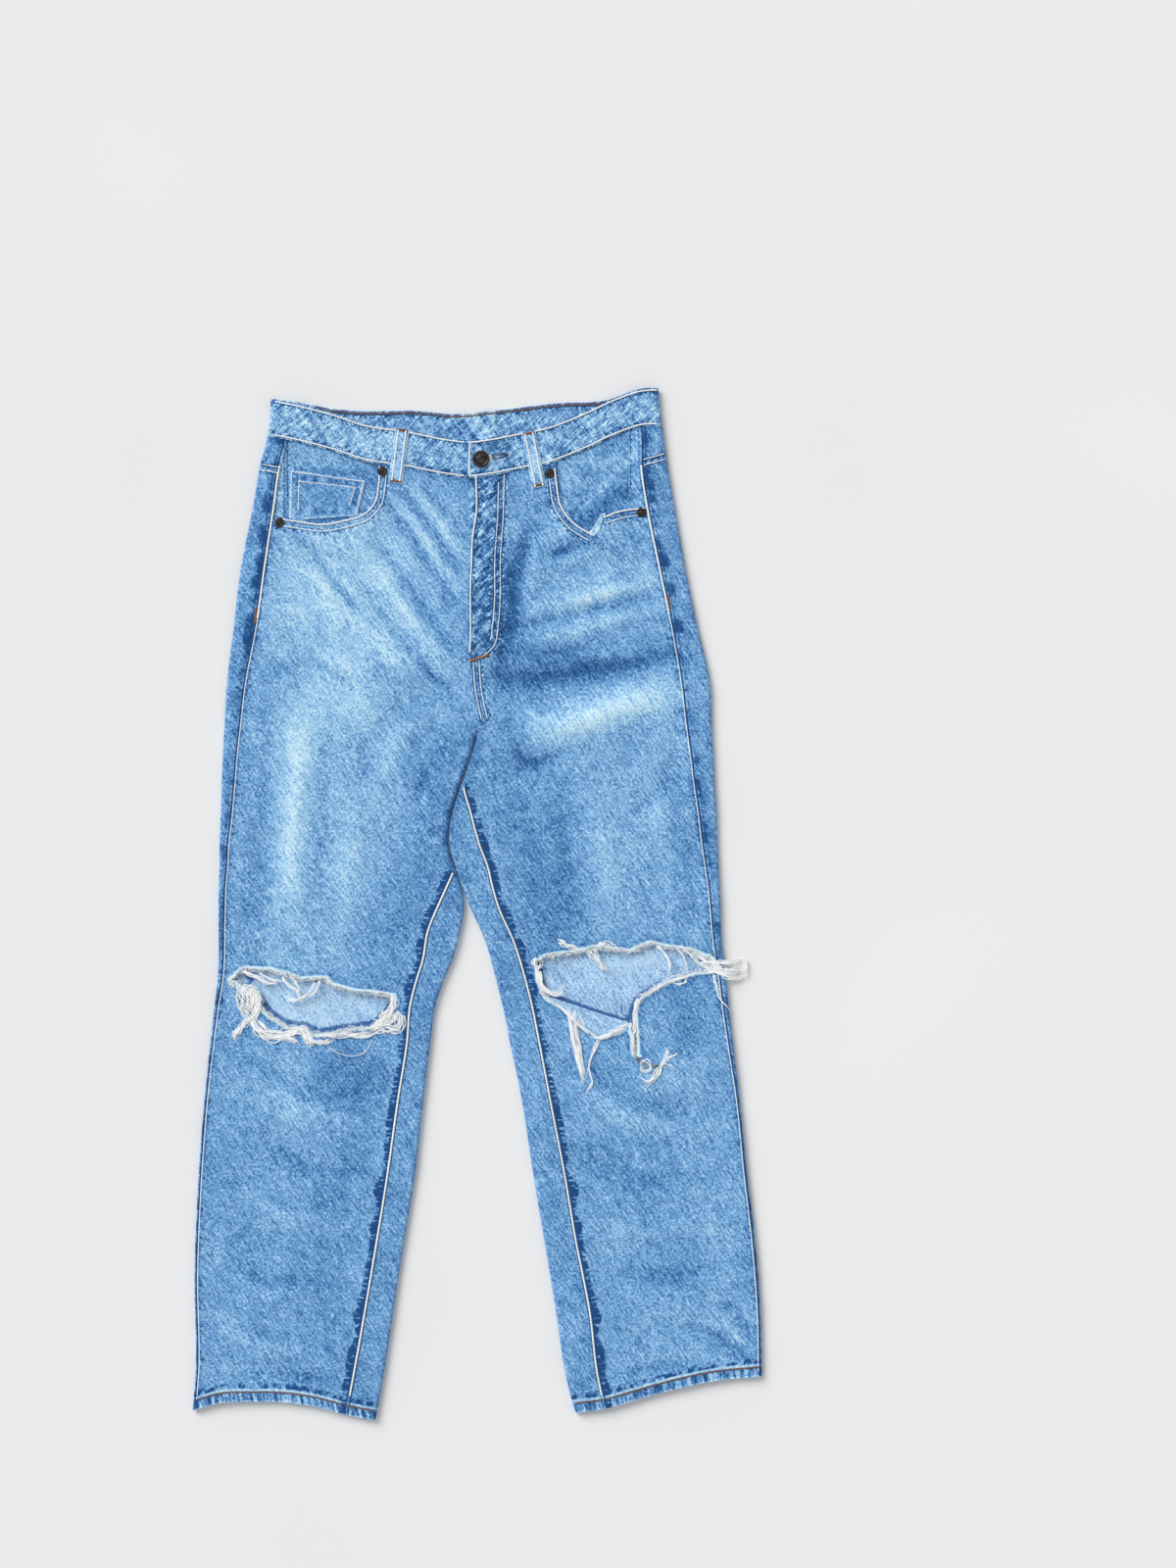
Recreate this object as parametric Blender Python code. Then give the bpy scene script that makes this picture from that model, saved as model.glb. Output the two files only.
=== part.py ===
"""Ripped denim jeans, laid flat with the front up.

The waist points along +Y, the wearer's left side is +X, and the cloth rests on z = 0.
Lengths in the constants and tables are millimetres, and MM turns them into metres.
Each leg is a flattened tube: the front panel lies on top between the side seam and the
inseam, and the back panel lies on the floor and wraps both folds up to those seams.
"""

import math

import bmesh
import bpy
import numpy as np

MM = 0.001

# Driving dimensions
WALL = 1.5
HEM_WALL = 2.3
BAND_WALL = 2.2
PATCH_WALL = 1.2
GAP = 0.3
BAND_GAP = 0.7
HEIGHT = 6.6
RADIUS = HEIGHT / 2
QUARTER = RADIUS * math.pi / 2

BAND_HEIGHT = 38.0
TOP_ROW = 464.0
YOKE_ROW = 436.0
HEM_ROW = -503.0
HEM_LINE = -490.0
CROTCH = 181.0
LEGS_APART = 150.0

LOOP_WIDTH = 14.0
LOOP_WALL = 1.5
BUTTON_RADIUS = 8.3
RIVET_RADIUS = 4.8
RIVET_HEIGHT = 1.5

FACING_TOP = 450.0
FACING_BOTTOM = 362.0
FLY_BOTTOM = 245.0
FLY_RAISE = WALL + GAP
FLY_WIDTH = 36.0
FLY_FLAT = 15.0
FLY_RAMP = 24.0
UNDERLAP = 8.0
BAND_RAISE = BAND_WALL + GAP
BAND_UNDER_END = 18.0
BAND_OVER_END = -10.0
BAND_RAMP = 22.0

# A row for each section of a leg, from the waist down: y, x of the outer edge, x of the
# inner edge (of the centre line above the crotch), and how far the side seam and the
# inseam lie from those edges, along the cloth and on top (below the fold if negative).
RIGHT_LEG = (
    (504, -205, -3, 19, -3),
    (464, -208, -3, 19, -3),
    (431, -216, -3, 19.5, -3),
    (392, -223, -3, 21, -3),
    (333, -235, -8, 24, -3),
    (275, -242, -9, 23, -3),
    (216, -249, -4, 19, -3),
    (181, -251, 1, 17, -3),
    (144, -253, -8, 15, -3),
    (119, -254, -17, 14, -3),
    (85, -255, -27, 12, -3),
    (59, -256, -29, 10, -3),
    (38, -256, -23, 9, 0),
    (17, -257, -16, 8, 15),
    (-3, -257, -13, 7.5, 27),
    (-25, -257, -16, 7, 33),
    (-57, -257, -25, 6.5, 30),
    (-76, -258, -33, 6, 28),
    (-100, -261, -41, 5, 26),
    (-135, -265, -46, 4.5, 24),
    (-193, -271, -53, 4, 26),
    (-271, -277, -62, 4, 28),
    (-369, -281, -78, 4, 28),
    (-466, -280, -94, 4, 29),
    (-503, -283, -101, 4, 29),
)
LEFT_LEG = (
    (513, 180, -3, 23, -3),
    (464, 185, -3, 23, -3),
    (431, 189, -3, 26, -3),
    (392, 196, -3, 27, -3),
    (333, 207, -8, 26, -3),
    (275, 219, -9, 26, -3),
    (216, 232, -4, 29, -3),
    (181, 233, 1, 26, -3),
    (144, 235, -7, 23, -3),
    (119, 236, -16, 21, 3),
    (92, 238, -25, 19, 19),
    (59, 239, -28, 16, 31),
    (38, 240, -22, 14, 33),
    (17, 241, -15, 12, 31),
    (-3, 242, -7, 11, 29),
    (-37, 243, 8, 9, 29),
    (-76, 248, 19, 8, 30),
    (-100, 250, 25, 7, 30),
    (-135, 254, 32, 6, 30),
    (-193, 261, 44, 4, 29),
    (-271, 269, 56, 4, 32),
    (-330, 276, 66, 4, 32),
    (-408, 282, 79, 4, 34),
    (-466, 283, 88, 4, 32),
    (-503, 283, 97, 4, 31),
)

# The lower edge of the waistband, in front and behind, and the yoke seam: x, y.
BAND_FRONT = (
    (-208, 465), (-178, 459), (-140, 449), (-113, 440), (-73, 434), (-26, 425),
    (-7, 423), (10, 425), (50, 433), (66, 436), (104, 450), (139, 466), (163, 474), (186, 475),
)
BAND_BACK = (
    (-208, 465), (-165, 458), (-131, 453), (-56, 452), (-21, 449), (21, 453),
    (81, 460), (123, 462), (163, 471), (186, 475),
)
YOKE_LINE = ((-216, 436), (-3, 392), (190, 447))
# The lower edge of each hem: x, y.
HEM_EDGE = (
    (-283, -503), (-254, -495), (-225, -494), (-187, -495), (-161, -499), (-134, -506), (-104, -512),
    (97, -505), (127, -501), (159, -492), (195, -482), (239, -473), (283, -469),
)

# The rows at which the panels are worked out.
ROWS = (
    464, 430, 400, 370, 340, 310, 280, 262, 245, 220, 200, 181, 171, 160, 150, 128, 105,
    82, 60, 38, 25, 12, -3, -20, -40, -60, -80, -120, -180, -260, -350, -440, -489, -491, -503,
)

# The largest folds of the front: x and y of both ends, half width, height.
FOLDS = (
    (-178, 368, -95, 266, 16, 1.6),
    (-170, 244, -120, 214, 14, 1.4),
    (-24, 175, -45, 60, 16, 2.4),
    (-40, 235, -120, 250, 15, 1.3),
    (60, 170, 165, 207, 16, 2.2),
    (30, 225, 130, 245, 15, -1.0),
    (35, 150, 60, 130, 14, -1.0),
    (80, 300, 180, 330, 18, 1.2),
    (-230, 120, -70, 80, 22, 0.8),
    (110, 60, 215, 90, 22, 0.9),
    (-200, -180, -110, -230, 22, 1.2),
    (110, -210, 215, -170, 22, 1.2),
    (-230, -400, -130, -370, 20, 1.0),
    (150, -380, 245, -420, 20, 1.2),
)

# The cut edges of the pocket openings and of the rips, seen from above: x, y.
POCKET_RIGHT_CUT = (
    (-98, 455), (-99, 435), (-100, 413), (-103, 400), (-113, 389), (-131, 383), (-154, 379),
    (-178, 382), (-212, 387), (-225, 470),
)
POCKET_LEFT_CUT = (
    (77, 460), (79, 433), (81, 417), (85, 396), (96, 381), (116, 368), (125, 386), (138, 391),
    (172, 396), (200, 490),
)
RIP_RIGHT_CUT = (
    (-242, -75), (-233, -64), (-210, -65), (-190, -69), (-176, -75), (-150, -73), (-144, -81),
    (-123, -86), (-99, -89), (-82, -91), (-84, -101), (-95, -113), (-103, -121), (-127, -124),
    (-149, -129), (-162, -129), (-173, -122), (-188, -122), (-203, -112), (-216, -103),
    (-220, -91), (-230, -84),
)
RIP_LEFT_CUT = (
    (60, -58), (69, -51), (97, -48), (118, -43), (152, -47), (172, -39), (192, -43), (212, -46),
    (231, -53), (235, -60), (234, -67), (221, -67), (207, -70), (188, -77), (172, -86), (159, -95),
    (157, -110), (158, -145), (154, -145), (153, -118), (140, -128), (122, -132), (102, -118),
    (89, -105), (68, -92), (61, -76),
)

# The threads of each rip: the backing strip's points, and a row for each bunch of threads:
# where it starts and ends along the strip, how many, and how far they reach in x and y.
FRAY_RIGHT_STRIP = (
    (-228.5, -81.5), (-218, -89.5), (-214, -101.5), (-201.5, -110), (-187, -119.6),
    (-172, -119.6), (-161, -126.6), (-149, -126.6), (-127.5, -121.6), (-104, -118.8),
    (-96.7, -111.3), (-86.2, -100),
)
FRAY_RIGHT_BUNCHES = (
    (0.02, 0.09, 4, -7, -26),
    (0.12, 0.20, 4, -12, -38),
    (0.26, 0.42, 6, 8, -13),
    (0.46, 0.64, 7, 14, -9),
    (0.68, 0.80, 5, 13, -12),
    (0.86, 0.99, 7, 12, 6),
)
FRAY_LEFT_STRIP = (
    (62.8, -62), (63.6, -75.5), (69.9, -90.3), (90.6, -103), (103.6, -116), (122.5, -129.5),
    (139, -125.7),
)
FRAY_LEFT_BUNCHES = (
    (0.02, 0.20, 5, 9, -9),
    (0.40, 0.52, 8, 12, -74),
    (0.60, 0.66, 3, 8, -20),
    (0.80, 0.93, 6, -4, -58),
)
FRAY_SIDE_STRIP = (
    (200.5, -70), (210, -66.6), (221, -64.5), (229.5, -64), (231.4, -60), (230, -57),
    (225, -54.5),
)
FRAY_SIDE_BUNCHES = (
    (0.05, 0.45, 6, 5, -14),
    (0.70, 0.87, 4, 29, -4),
)
THREAD_RADIUS = 0.5
THREAD_SIDES = 3

# Back pockets, seen from above through the cloth: x, y.
BACK_POCKET_RIGHT = ((-40, 362), (-194, 384), (-197, 247), (-141, 221), (-74, 229))
BACK_POCKET_LEFT = ((22, 366), (177, 377), (170, 236), (106, 213), (44, 227))
# The coin pocket's corners: x, y.
COIN_POCKET = ((-186, 432), (-111, 421), (-119, 386), (-187, 381))

# Belt loops: x and y of the upper end, x and y of the lower end.
FRONT_LOOPS = {
    "belt_loop_front_right": (-74, 473, -81, 418),
    "belt_loop_front_left": (51, 470, 62, 414),
}
BACK_LOOPS = {
    "belt_loop_back_right": (-183, 499, -180, 441),
    "belt_loop_back_centre": (-4, 488, -3, 433),
    "belt_loop_back_left": (165, 508, 163, 452),
}
BUTTON = (4, 442)
# The button and the rivets are turned pieces: radius and height of each ring.
BUTTON_PROFILE = (
    (3.0, 0.0), (3.4, 0.9), (7.6, 1.0), (BUTTON_RADIUS, 1.9), (7.8, 2.9), (5.6, 3.3), (4.2, 3.0),
    (2.2, 3.7),
)
RIVET_PROFILE = (
    (RIVET_RADIUS, 0.0), (RIVET_RADIUS, 0.5), (3.4, 1.0), (1.9, 1.1), (1.5, RIVET_HEIGHT),
)
RIVETS = {
    "rivet_right_inner": (-94, 430),
    "rivet_right_outer": (-196, 379),
    "rivet_left_inner": (72, 428),
    "rivet_left_outer": (163, 389),
}

# Colours, roughness and metallic value of each finish
FINISHES = {
    "denim": ((0.17, 0.37, 0.64, 1), 0.9, 0.0),
    "thread": ((0.80, 0.84, 0.86, 1), 0.8, 0.0),
    "dark_metal": ((0.07, 0.06, 0.07, 1), 0.4, 1.0),
}


def smooth(table, column, at):
    """A smooth curve through one column of a table, level beyond its ends."""
    rows = np.array(sorted(table), float)
    places = rows[:, 0]
    values = rows[:, column]
    slopes = np.gradient(values, places)
    at = np.clip(np.asarray(at, float), places[0], places[-1])
    row = np.clip(np.searchsorted(places, at) - 1, 0, len(places) - 2)
    span = places[row + 1] - places[row]
    t = (at - places[row]) / span
    start = (1 + 2 * t) * (1 - t) ** 2 * values[row] + t * (1 - t) ** 2 * span * slopes[row]
    end = t * t * (3 - 2 * t) * values[row + 1] + t * t * (t - 1) * span * slopes[row + 1]
    return start + end


def step(value, low, high):
    """0 at low, 1 at high and smooth between, whichever is larger."""
    t = np.clip((np.asarray(value, float) - low) / (high - low), 0, 1)
    return t * t * (3 - 2 * t)


def plateau(value, low, high, ramp):
    """1 between low and high, and 0 from a ramp's length outside them."""
    return step(value, low - ramp, low) * step(value, high + ramp, high)


def ridge(x, y, fold):
    """The height of one soft fold at a place."""
    x0, y0, x1, y1, half_width, height = fold
    dx = x1 - x0
    dy = y1 - y0
    along = np.clip(((x - x0) * dx + (y - y0) * dy) / (dx**2 + dy**2), 0, 1)
    away = np.hypot(x - x0 - along * dx, y - y0 - along * dy)
    return height * np.exp(-((away / half_width) ** 2)) * (0.45 + 0.55 * np.sin(math.pi * along))


def top_rise(x, y):
    """How far the upper layer stands above HEIGHT: the pockets' fullness and the folds."""
    rise = 1.8 * plateau(x, -200, -108, 22) * plateau(y, 362, 500, 26)
    rise = rise + 1.0 * plateau(x, 84, 172, 22) * plateau(y, 362, 500, 26)
    for fold in FOLDS:
        rise = rise + ridge(x, y, fold)
    return rise


def floor_rise(x, y):
    """How far the lower layer is lifted off the floor by the pockets and loops under it."""
    rise = (PATCH_WALL + GAP) * plateau(y, 200, 404, 24) * np.ones(len(x))
    for x0, y0, x1, y1 in BACK_LOOPS.values():
        centre = (x0 + x1) / 2
        loop = plateau(x, centre - 18, centre + 18, 10) * plateau(y, min(y0, y1) - 16, 520, 14)
        rise = np.maximum(rise, (LOOP_WALL + GAP) * loop)
    return rise


def band_front_y(x):
    return smooth(BAND_FRONT, 1, x)


def yoke_y(x):
    """The yoke seam runs straight from each side down to the centre-back seam."""
    places, heights = zip(*YOKE_LINE)
    return np.interp(x, places, heights)


def row_y(x, y, top_edge, top_row):
    """Where a row lies at x: the rows bend to follow the waistband or yoke, and the hem."""
    at_top = (top_edge(x) - BAND_GAP - top_row) * step(y, 300, top_row)
    at_hem = (smooth(HEM_EDGE, 1, x) - HEM_ROW) * step(y, -330, HEM_ROW)
    return y + at_top + at_hem


def fold_points(run, bend, widest, tip, inward, depth):
    """Places along a fold, by their distance from where it starts to bend.

    Gives x, the rise from the layer that the fold starts in, and the cosine of its turn.
    """
    turn = np.clip(run / bend, 0, math.pi)
    beyond = np.maximum(run - bend * math.pi, 0)
    reach = (bend - depth) * np.sin(turn) + np.minimum(run, 0) - beyond
    x = tip + inward * (widest - reach)
    return x, bend - (bend - depth) * np.cos(turn), np.cos(turn)


class Leg:
    """One side of the jeans: side is -1 for the wearer's right, and 1 for the left."""

    def __init__(self, side, table):
        self.side = side
        self.table = table

    def outer(self, y):
        return smooth(self.table, 1, y)

    def side_seam(self, y):
        return smooth(self.table, 3, y)

    def inseam(self, y):
        return smooth(self.table, 4, y)

    def seam_x(self, y):
        """x of the side seam, seen from above."""
        return self.outer(y) - self.side * (RADIUS + self.side_seam(y) - QUARTER)

    def roll(self, y):
        """0 where the inner edge is flat at the centre line, 1 where it is a full fold."""
        return max(0.02, float(step(y, CROTCH, LEGS_APART)))

    def inner(self, y, upper):
        tip = smooth(self.table, 2, y) + self.side * GAP / 2
        if upper and self.side < 0:
            tip = tip + UNDERLAP * step(y, FLY_BOTTOM + 5, FLY_BOTTOM + 40)
        return tip

    def middle(self, outer_x, inner_x, count):
        return np.linspace(outer_x, inner_x, count + 2)[1:-1]

    def upper_row(self, y, side_y, depth, count):
        """x, z and lift share of the front panel's columns, from side seam to inseam."""
        side = self.side_seam(side_y) + GAP / 2 + np.array([0, 2, 7])
        x0, rise0, turn0 = fold_points(
            QUARTER - side, RADIUS, RADIUS, self.outer(side_y), -self.side, depth
        )
        roll = self.roll(y)
        bend = RADIUS / roll
        end = self.inseam(y) + GAP / 2 + 1.5 * (1 - roll)
        inner = end + np.array([14, 9, 6, 4, 2, 0])
        last = QUARTER - end
        widest = RADIUS if roll >= 1 else bend * math.sin(min(last / bend, math.pi / 2))
        x2, rise2, turn2 = fold_points(
            QUARTER - inner, bend, widest, self.inner(y, True), self.side, depth
        )
        x1 = self.middle(x0[-1], x2[0], count)
        x = np.concatenate([x0, x1, x2])
        rise = np.concatenate([rise0, np.full(count, depth), rise2])
        turn = np.concatenate([turn0, np.ones(count), turn2])
        return x, HEIGHT - rise, np.clip(turn, 0, 1), np.zeros(len(x))

    def lower_row(self, y, side_y, depth, count):
        """The same for the back panel, from the side seam under the leg to the inseam."""
        side = self.side_seam(side_y) - GAP / 2
        flat = min(QUARTER, side - 0.8)
        arcs = np.concatenate([[side, (side + flat) / 2], np.linspace(flat, -QUARTER, 5)])
        x0, rise0, turn0 = fold_points(
            QUARTER + arcs, RADIUS, RADIUS, self.outer(side_y), -self.side, depth
        )
        roll = self.roll(y)
        end = self.inseam(y) - GAP / 2
        flat = min(QUARTER, end - 0.8)
        arcs = np.concatenate([np.linspace(-QUARTER, flat, 5), [(flat + end) / 2, end]])
        widest = (QUARTER + end) * (1 - roll) + RADIUS * roll if roll < 1 else RADIUS
        x2, rise2, turn2 = fold_points(
            QUARTER + arcs, RADIUS / roll, widest, self.inner(y, False), self.side, depth
        )
        x1 = self.middle(x0[-1], x2[0], count)
        x = np.concatenate([x0, x1, x2])
        rise = np.concatenate([rise0, np.full(count, depth), rise2])
        turn = np.concatenate([turn0, np.ones(count), turn2])
        return x, rise, np.clip(-turn, 0, 1), np.clip(turn, 0, 1)


def fly_raise(leg, x, y, row):
    """The wearer's left front laps over the right one at the fly."""
    if leg.side < 0:
        return np.zeros(len(x))
    edge = smooth(leg.table, 2, row)
    across = step(x, edge + FLY_WIDTH, edge + FLY_FLAT)
    return FLY_RAISE * across * step(row, FLY_BOTTOM - FLY_RAMP, FLY_BOTTOM)


def panel_grid(leg, rows, upper, depth_at, top_edge, top_row, count):
    """The points of one side of a panel's wall."""
    grid = []
    for row in rows:
        make = leg.upper_row if upper else leg.lower_row
        side_y = float(row_y(leg.seam_x(row), row, top_edge, top_row))
        x, z, on_top, on_floor = make(row, side_y, depth_at(row), count)
        y = row_y(x, row, top_edge, top_row)
        z = z + on_top * top_rise(x, y) + on_floor * floor_rise(x, y)
        if upper:
            z = z + fly_raise(leg, x, y, row)
        grid.append(np.stack([x, y, z], axis=1))
    return np.array(grid)


def cloth_wall(row):
    return HEM_WALL if row < HEM_LINE else WALL


def new_object(name, vertices, faces, finish):
    mesh = bpy.data.meshes.new(name)
    places = [tuple(float(value) * MM for value in vertex) for vertex in vertices]
    mesh.from_pydata(places, [], faces)
    shape = bmesh.new()
    shape.from_mesh(mesh)
    bmesh.ops.recalc_face_normals(shape, faces=shape.faces)
    shape.to_mesh(mesh)
    shape.free()
    mesh.materials.append(materials[finish])
    mesh.shade_smooth()
    mesh.set_sharp_from_angle(angle=math.radians(40))
    thing = bpy.data.objects.new(name, mesh)
    bpy.context.scene.collection.objects.link(thing)
    thing.parent = garment
    return thing


def wall(name, outer, inner, finish="denim"):
    """A closed wall between two grids of points of the same size."""
    rows, columns = outer.shape[:2]
    vertices = np.concatenate([outer.reshape(-1, 3), inner.reshape(-1, 3)])
    under = rows * columns
    faces = []
    for r in range(rows - 1):
        for c in range(columns - 1):
            a = r * columns + c
            quad = (a, a + 1, a + columns + 1, a + columns)
            faces.append(quad)
            faces.append(tuple(under + index for index in reversed(quad)))
    last = (rows - 1) * columns
    border = list(range(columns))
    border += [r * columns + columns - 1 for r in range(1, rows)]
    border += [last + c for c in range(columns - 2, -1, -1)]
    border += [r * columns for r in range(rows - 2, 0, -1)]
    for a, b in zip(border, border[1:] + border[:1]):
        faces.append((b, a, under + a, under + b))
    return new_object(name, vertices, faces, finish)


def prism(name, outline, low, high, finish="denim"):
    """An upright prism on an outline."""
    count = len(outline)
    vertices = [(x, y, low) for x, y in outline] + [(x, y, high) for x, y in outline]
    faces = [tuple(range(count)), tuple(range(2 * count - 1, count - 1, -1))]
    faces += [(i, (i + 1) % count, count + (i + 1) % count, count + i) for i in range(count)]
    return new_object(name, vertices, faces, finish)


def cut(thing, name, outline):
    """Cuts an outline through a wall."""
    cutter = prism(name, outline, -2, 30)
    cutter.hide_render = True
    cutter.display_type = "WIRE"
    modifier = thing.modifiers.new(name, "BOOLEAN")
    modifier.operation = "DIFFERENCE"
    modifier.solver = "EXACT"
    modifier.object = cutter


def turned(name, profile, place, base, sides, finish):
    """A turned piece with its axis upright: profile rows are radius, height."""
    vertices = [(place[0], place[1], base)]
    for radius, height in profile:
        for k in range(sides):
            angle = 2 * math.pi * k / sides
            x = place[0] + radius * math.cos(angle)
            y = place[1] + radius * math.sin(angle)
            vertices.append((x, y, base + height))
    vertices.append((place[0], place[1], base + profile[-1][1] + 0.1))
    faces = [(0, 1 + (k + 1) % sides, 1 + k) for k in range(sides)]
    for ring in range(len(profile) - 1):
        start = 1 + ring * sides
        for k in range(sides):
            after = (k + 1) % sides
            faces.append((start + k, start + after, start + sides + after, start + sides + k))
    start = 1 + (len(profile) - 1) * sides
    faces += [(start + k, start + (k + 1) % sides, len(vertices) - 1) for k in range(sides)]
    return new_object(name, vertices, faces, finish)


def make_panels():
    back_rows = [YOKE_ROW] + [row for row in ROWS if row < YOKE_ROW - 8]
    for leg, name in ((right, "right"), (left, "left")):
        for upper, part, rows, edge, top, count in (
            (True, "front", ROWS, band_front_y, TOP_ROW, 8),
            (False, "back", back_rows, yoke_y, YOKE_ROW, 4),
        ):
            outer = panel_grid(leg, rows, upper, lambda row: 0, edge, top, count)
            inner = panel_grid(leg, rows, upper, cloth_wall, edge, top, count)
            wall(f"{part}_{name}", outer, inner)


def yoke_grid(leg, depth):
    grid = []
    for share in (0, 0.25, 0.5, 0.75, 1):
        edge = leg.seam_x(TOP_ROW)
        side_y = smooth(BAND_BACK, 1, edge) + share * (yoke_y(edge) - smooth(BAND_BACK, 1, edge))
        row = TOP_ROW + share * (YOKE_ROW - TOP_ROW)
        x, z, on_top, on_floor = leg.lower_row(row, float(side_y), depth, 9)
        front_share = 0.5 * (1 + on_top - on_floor)
        high = front_share * smooth(BAND_FRONT, 1, x) + (1 - front_share) * smooth(BAND_BACK, 1, x)
        high = high - BAND_GAP
        low = yoke_y(x)
        y = high + share * (low - high)
        z = z + on_top * top_rise(x, y) + on_floor * floor_rise(x, y)
        grid.append(np.stack([x, y, z], axis=1))
    return np.array(grid)


def make_yokes():
    for leg, name in ((right, "right"), (left, "left")):
        wall(f"yoke_{name}", yoke_grid(leg, 0), yoke_grid(leg, WALL))


def band_grid(depth):
    """The waistband runs from its right end over the front, round the back, to its left end."""
    side_arcs = np.array([12, 7, 4, 2, 0, -2, -4, -7, -12])
    grid = []
    for height in (0, 5, BAND_HEIGHT - 5, BAND_HEIGHT):
        tips = []
        for leg, order in ((right, side_arcs), (left, side_arcs[::-1])):
            corner = smooth(BAND_FRONT, 1, leg.outer(TOP_ROW))
            tip = leg.outer(corner + height)
            tips.append(fold_points(QUARTER + order, RADIUS, RADIUS, tip, -leg.side, depth))
        (xr, rise_r, turn_r), (xl, rise_l, turn_l) = tips
        first = np.linspace(BAND_UNDER_END, xr[0], 14)[:-1]
        floor = np.linspace(xr[-1], xl[0], 38)[1:-1]
        final = np.linspace(xl[-1], BAND_OVER_END, 14)[1:]
        x = np.concatenate([first, xr, floor, xl, final])
        above = HEIGHT - depth
        front_z = np.full(len(first), above)
        floor_z = np.full(len(floor), depth)
        z = np.concatenate([front_z, rise_r, floor_z, rise_l, front_z])
        front_turn = -np.ones(len(first))
        turn = np.concatenate([front_turn, turn_r, np.ones(len(floor)), turn_l, front_turn])
        front_share = (1 - turn) / 2
        low = front_share * smooth(BAND_FRONT, 1, x) + (1 - front_share) * smooth(BAND_BACK, 1, x)
        y = low + height
        z = z + np.clip(-turn, 0, 1) * top_rise(x, y) + np.clip(turn, 0, 1) * floor_rise(x, y)
        lap = BAND_RAISE * step(final, BAND_UNDER_END + BAND_RAMP, BAND_UNDER_END + 3)
        z[-len(final):] += lap
        grid.append(np.stack([x, y, z], axis=1))
    return np.array(grid)


def facing_grid(leg, inner_x, rows, drop, depth):
    """A pocket facing: level with the back panel at the side seam, then under the front."""
    grid = []
    for share in rows:
        line = []
        for across in (0, 0.06, 0.12, 0.3, 0.5, 0.7, 0.85, 1):
            x = leg.seam_x(FACING_TOP)
            for _ in range(3):
                high = float(smooth(BAND_FRONT, 1, x)) - BAND_GAP
                y = high + share * (FACING_BOTTOM - high)
                seam = leg.seam_x(y) - leg.side * 2 * GAP
                x = seam + across * (inner_x - seam)
            away = abs(x - seam)
            coin = drop * plateau(x, -188, -100, 8) * step(y, 452, 438)
            sunk = (WALL + 2 * GAP + coin) * max(float(step(away, 0, 8)), float(step(y, 420, 402)))
            line.append((x, y, HEIGHT + float(top_rise(x, y)) - float(sunk) - depth))
        grid.append(line)
    return np.array(grid)


def make_pockets():
    rows = (0, 0.15, 0.35, 0.5, 0.65, 0.8, 1)
    for name, leg, inner_x, drop in (("right", right, -86, PATCH_WALL), ("left", left, 68, 0)):
        outer = facing_grid(leg, inner_x, rows, drop, 0)
        wall(f"pocket_facing_{name}", outer, facing_grid(leg, inner_x, rows, drop, PATCH_WALL))
    corners = np.array(COIN_POCKET, float)
    for depth in (0, PATCH_WALL):
        grid = []
        for down in np.linspace(0, 1, 4):
            start = corners[0] + down * (corners[3] - corners[0])
            end = corners[1] + down * (corners[2] - corners[1])
            line = [start + across * (end - start) for across in np.linspace(0, 1, 6)]
            grid.append([(x, y, HEIGHT + float(top_rise(x, y)) - WALL - GAP - depth) for x, y in line])
        if depth == 0:
            outer = np.array(grid)
    wall("coin_pocket", outer, np.array(grid))
    prism("back_pocket_right", BACK_POCKET_RIGHT, 0, PATCH_WALL)
    prism("back_pocket_left", BACK_POCKET_LEFT, 0, PATCH_WALL)


def loop_grid(ends, base_at, depth):
    x0, y0, x1, y1 = ends
    length = math.hypot(x1 - x0, y1 - y0)
    across = np.array([(y0 - y1), (x1 - x0)]) / length * LOOP_WIDTH / 2
    grid = []
    for t in np.linspace(0, 1, 7):
        centre = np.array([x0 + t * (x1 - x0), y0 + t * (y1 - y0)])
        places = [centre - across, centre, centre + across]
        grid.append([(x, y, base_at(x, y) + depth) for x, y in places])
    return np.array(grid)


def make_loops():
    def on_top(x, y):
        return HEIGHT + float(top_rise(x, y)) + GAP

    for name, ends in FRONT_LOOPS.items():
        wall(name, loop_grid(ends, on_top, LOOP_WALL), loop_grid(ends, on_top, 0))
    for name, ends in BACK_LOOPS.items():
        wall(name, loop_grid(ends, lambda x, y: LOOP_WALL, 0), loop_grid(ends, lambda x, y: 0, 0))


def make_metal():
    base = HEIGHT + float(top_rise(*BUTTON)) + BAND_RAISE + GAP
    turned("waist_button", BUTTON_PROFILE, BUTTON, base, 20, "dark_metal")
    for name, place in RIVETS.items():
        around = [(place[0] + dx, place[1] + dy) for dx in (-5, 5) for dy in (-5, 5)]
        base = HEIGHT + max(float(top_rise(*spot)) for spot in around) + GAP
        turned(name, RIVET_PROFILE, place, base, 12, "dark_metal")


def tube(points, radius, sides):
    """Vertices and faces of a closed thin tube along points that lie nearly level."""
    points = np.array(points)
    vertices = []
    for i, point in enumerate(points):
        ahead = points[min(i + 1, len(points) - 1)] - points[max(i - 1, 0)]
        ahead = ahead / np.linalg.norm(ahead)
        across = np.array([-ahead[1], ahead[0], 0])
        across = across / np.linalg.norm(across)
        up = np.cross(ahead, across)
        for k in range(sides):
            angle = 2 * math.pi * k / sides
            vertices.append(point + radius * (math.cos(angle) * across + math.sin(angle) * up))
    faces = []
    for i in range(len(points) - 1):
        for k in range(sides):
            after = (k + 1) % sides
            ring = i * sides
            faces.append((ring + k, ring + after, ring + sides + after, ring + sides + k))
    faces.append(tuple(range(sides - 1, -1, -1)))
    faces.append(tuple(range(len(vertices) - sides, len(vertices))))
    return vertices, faces


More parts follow.
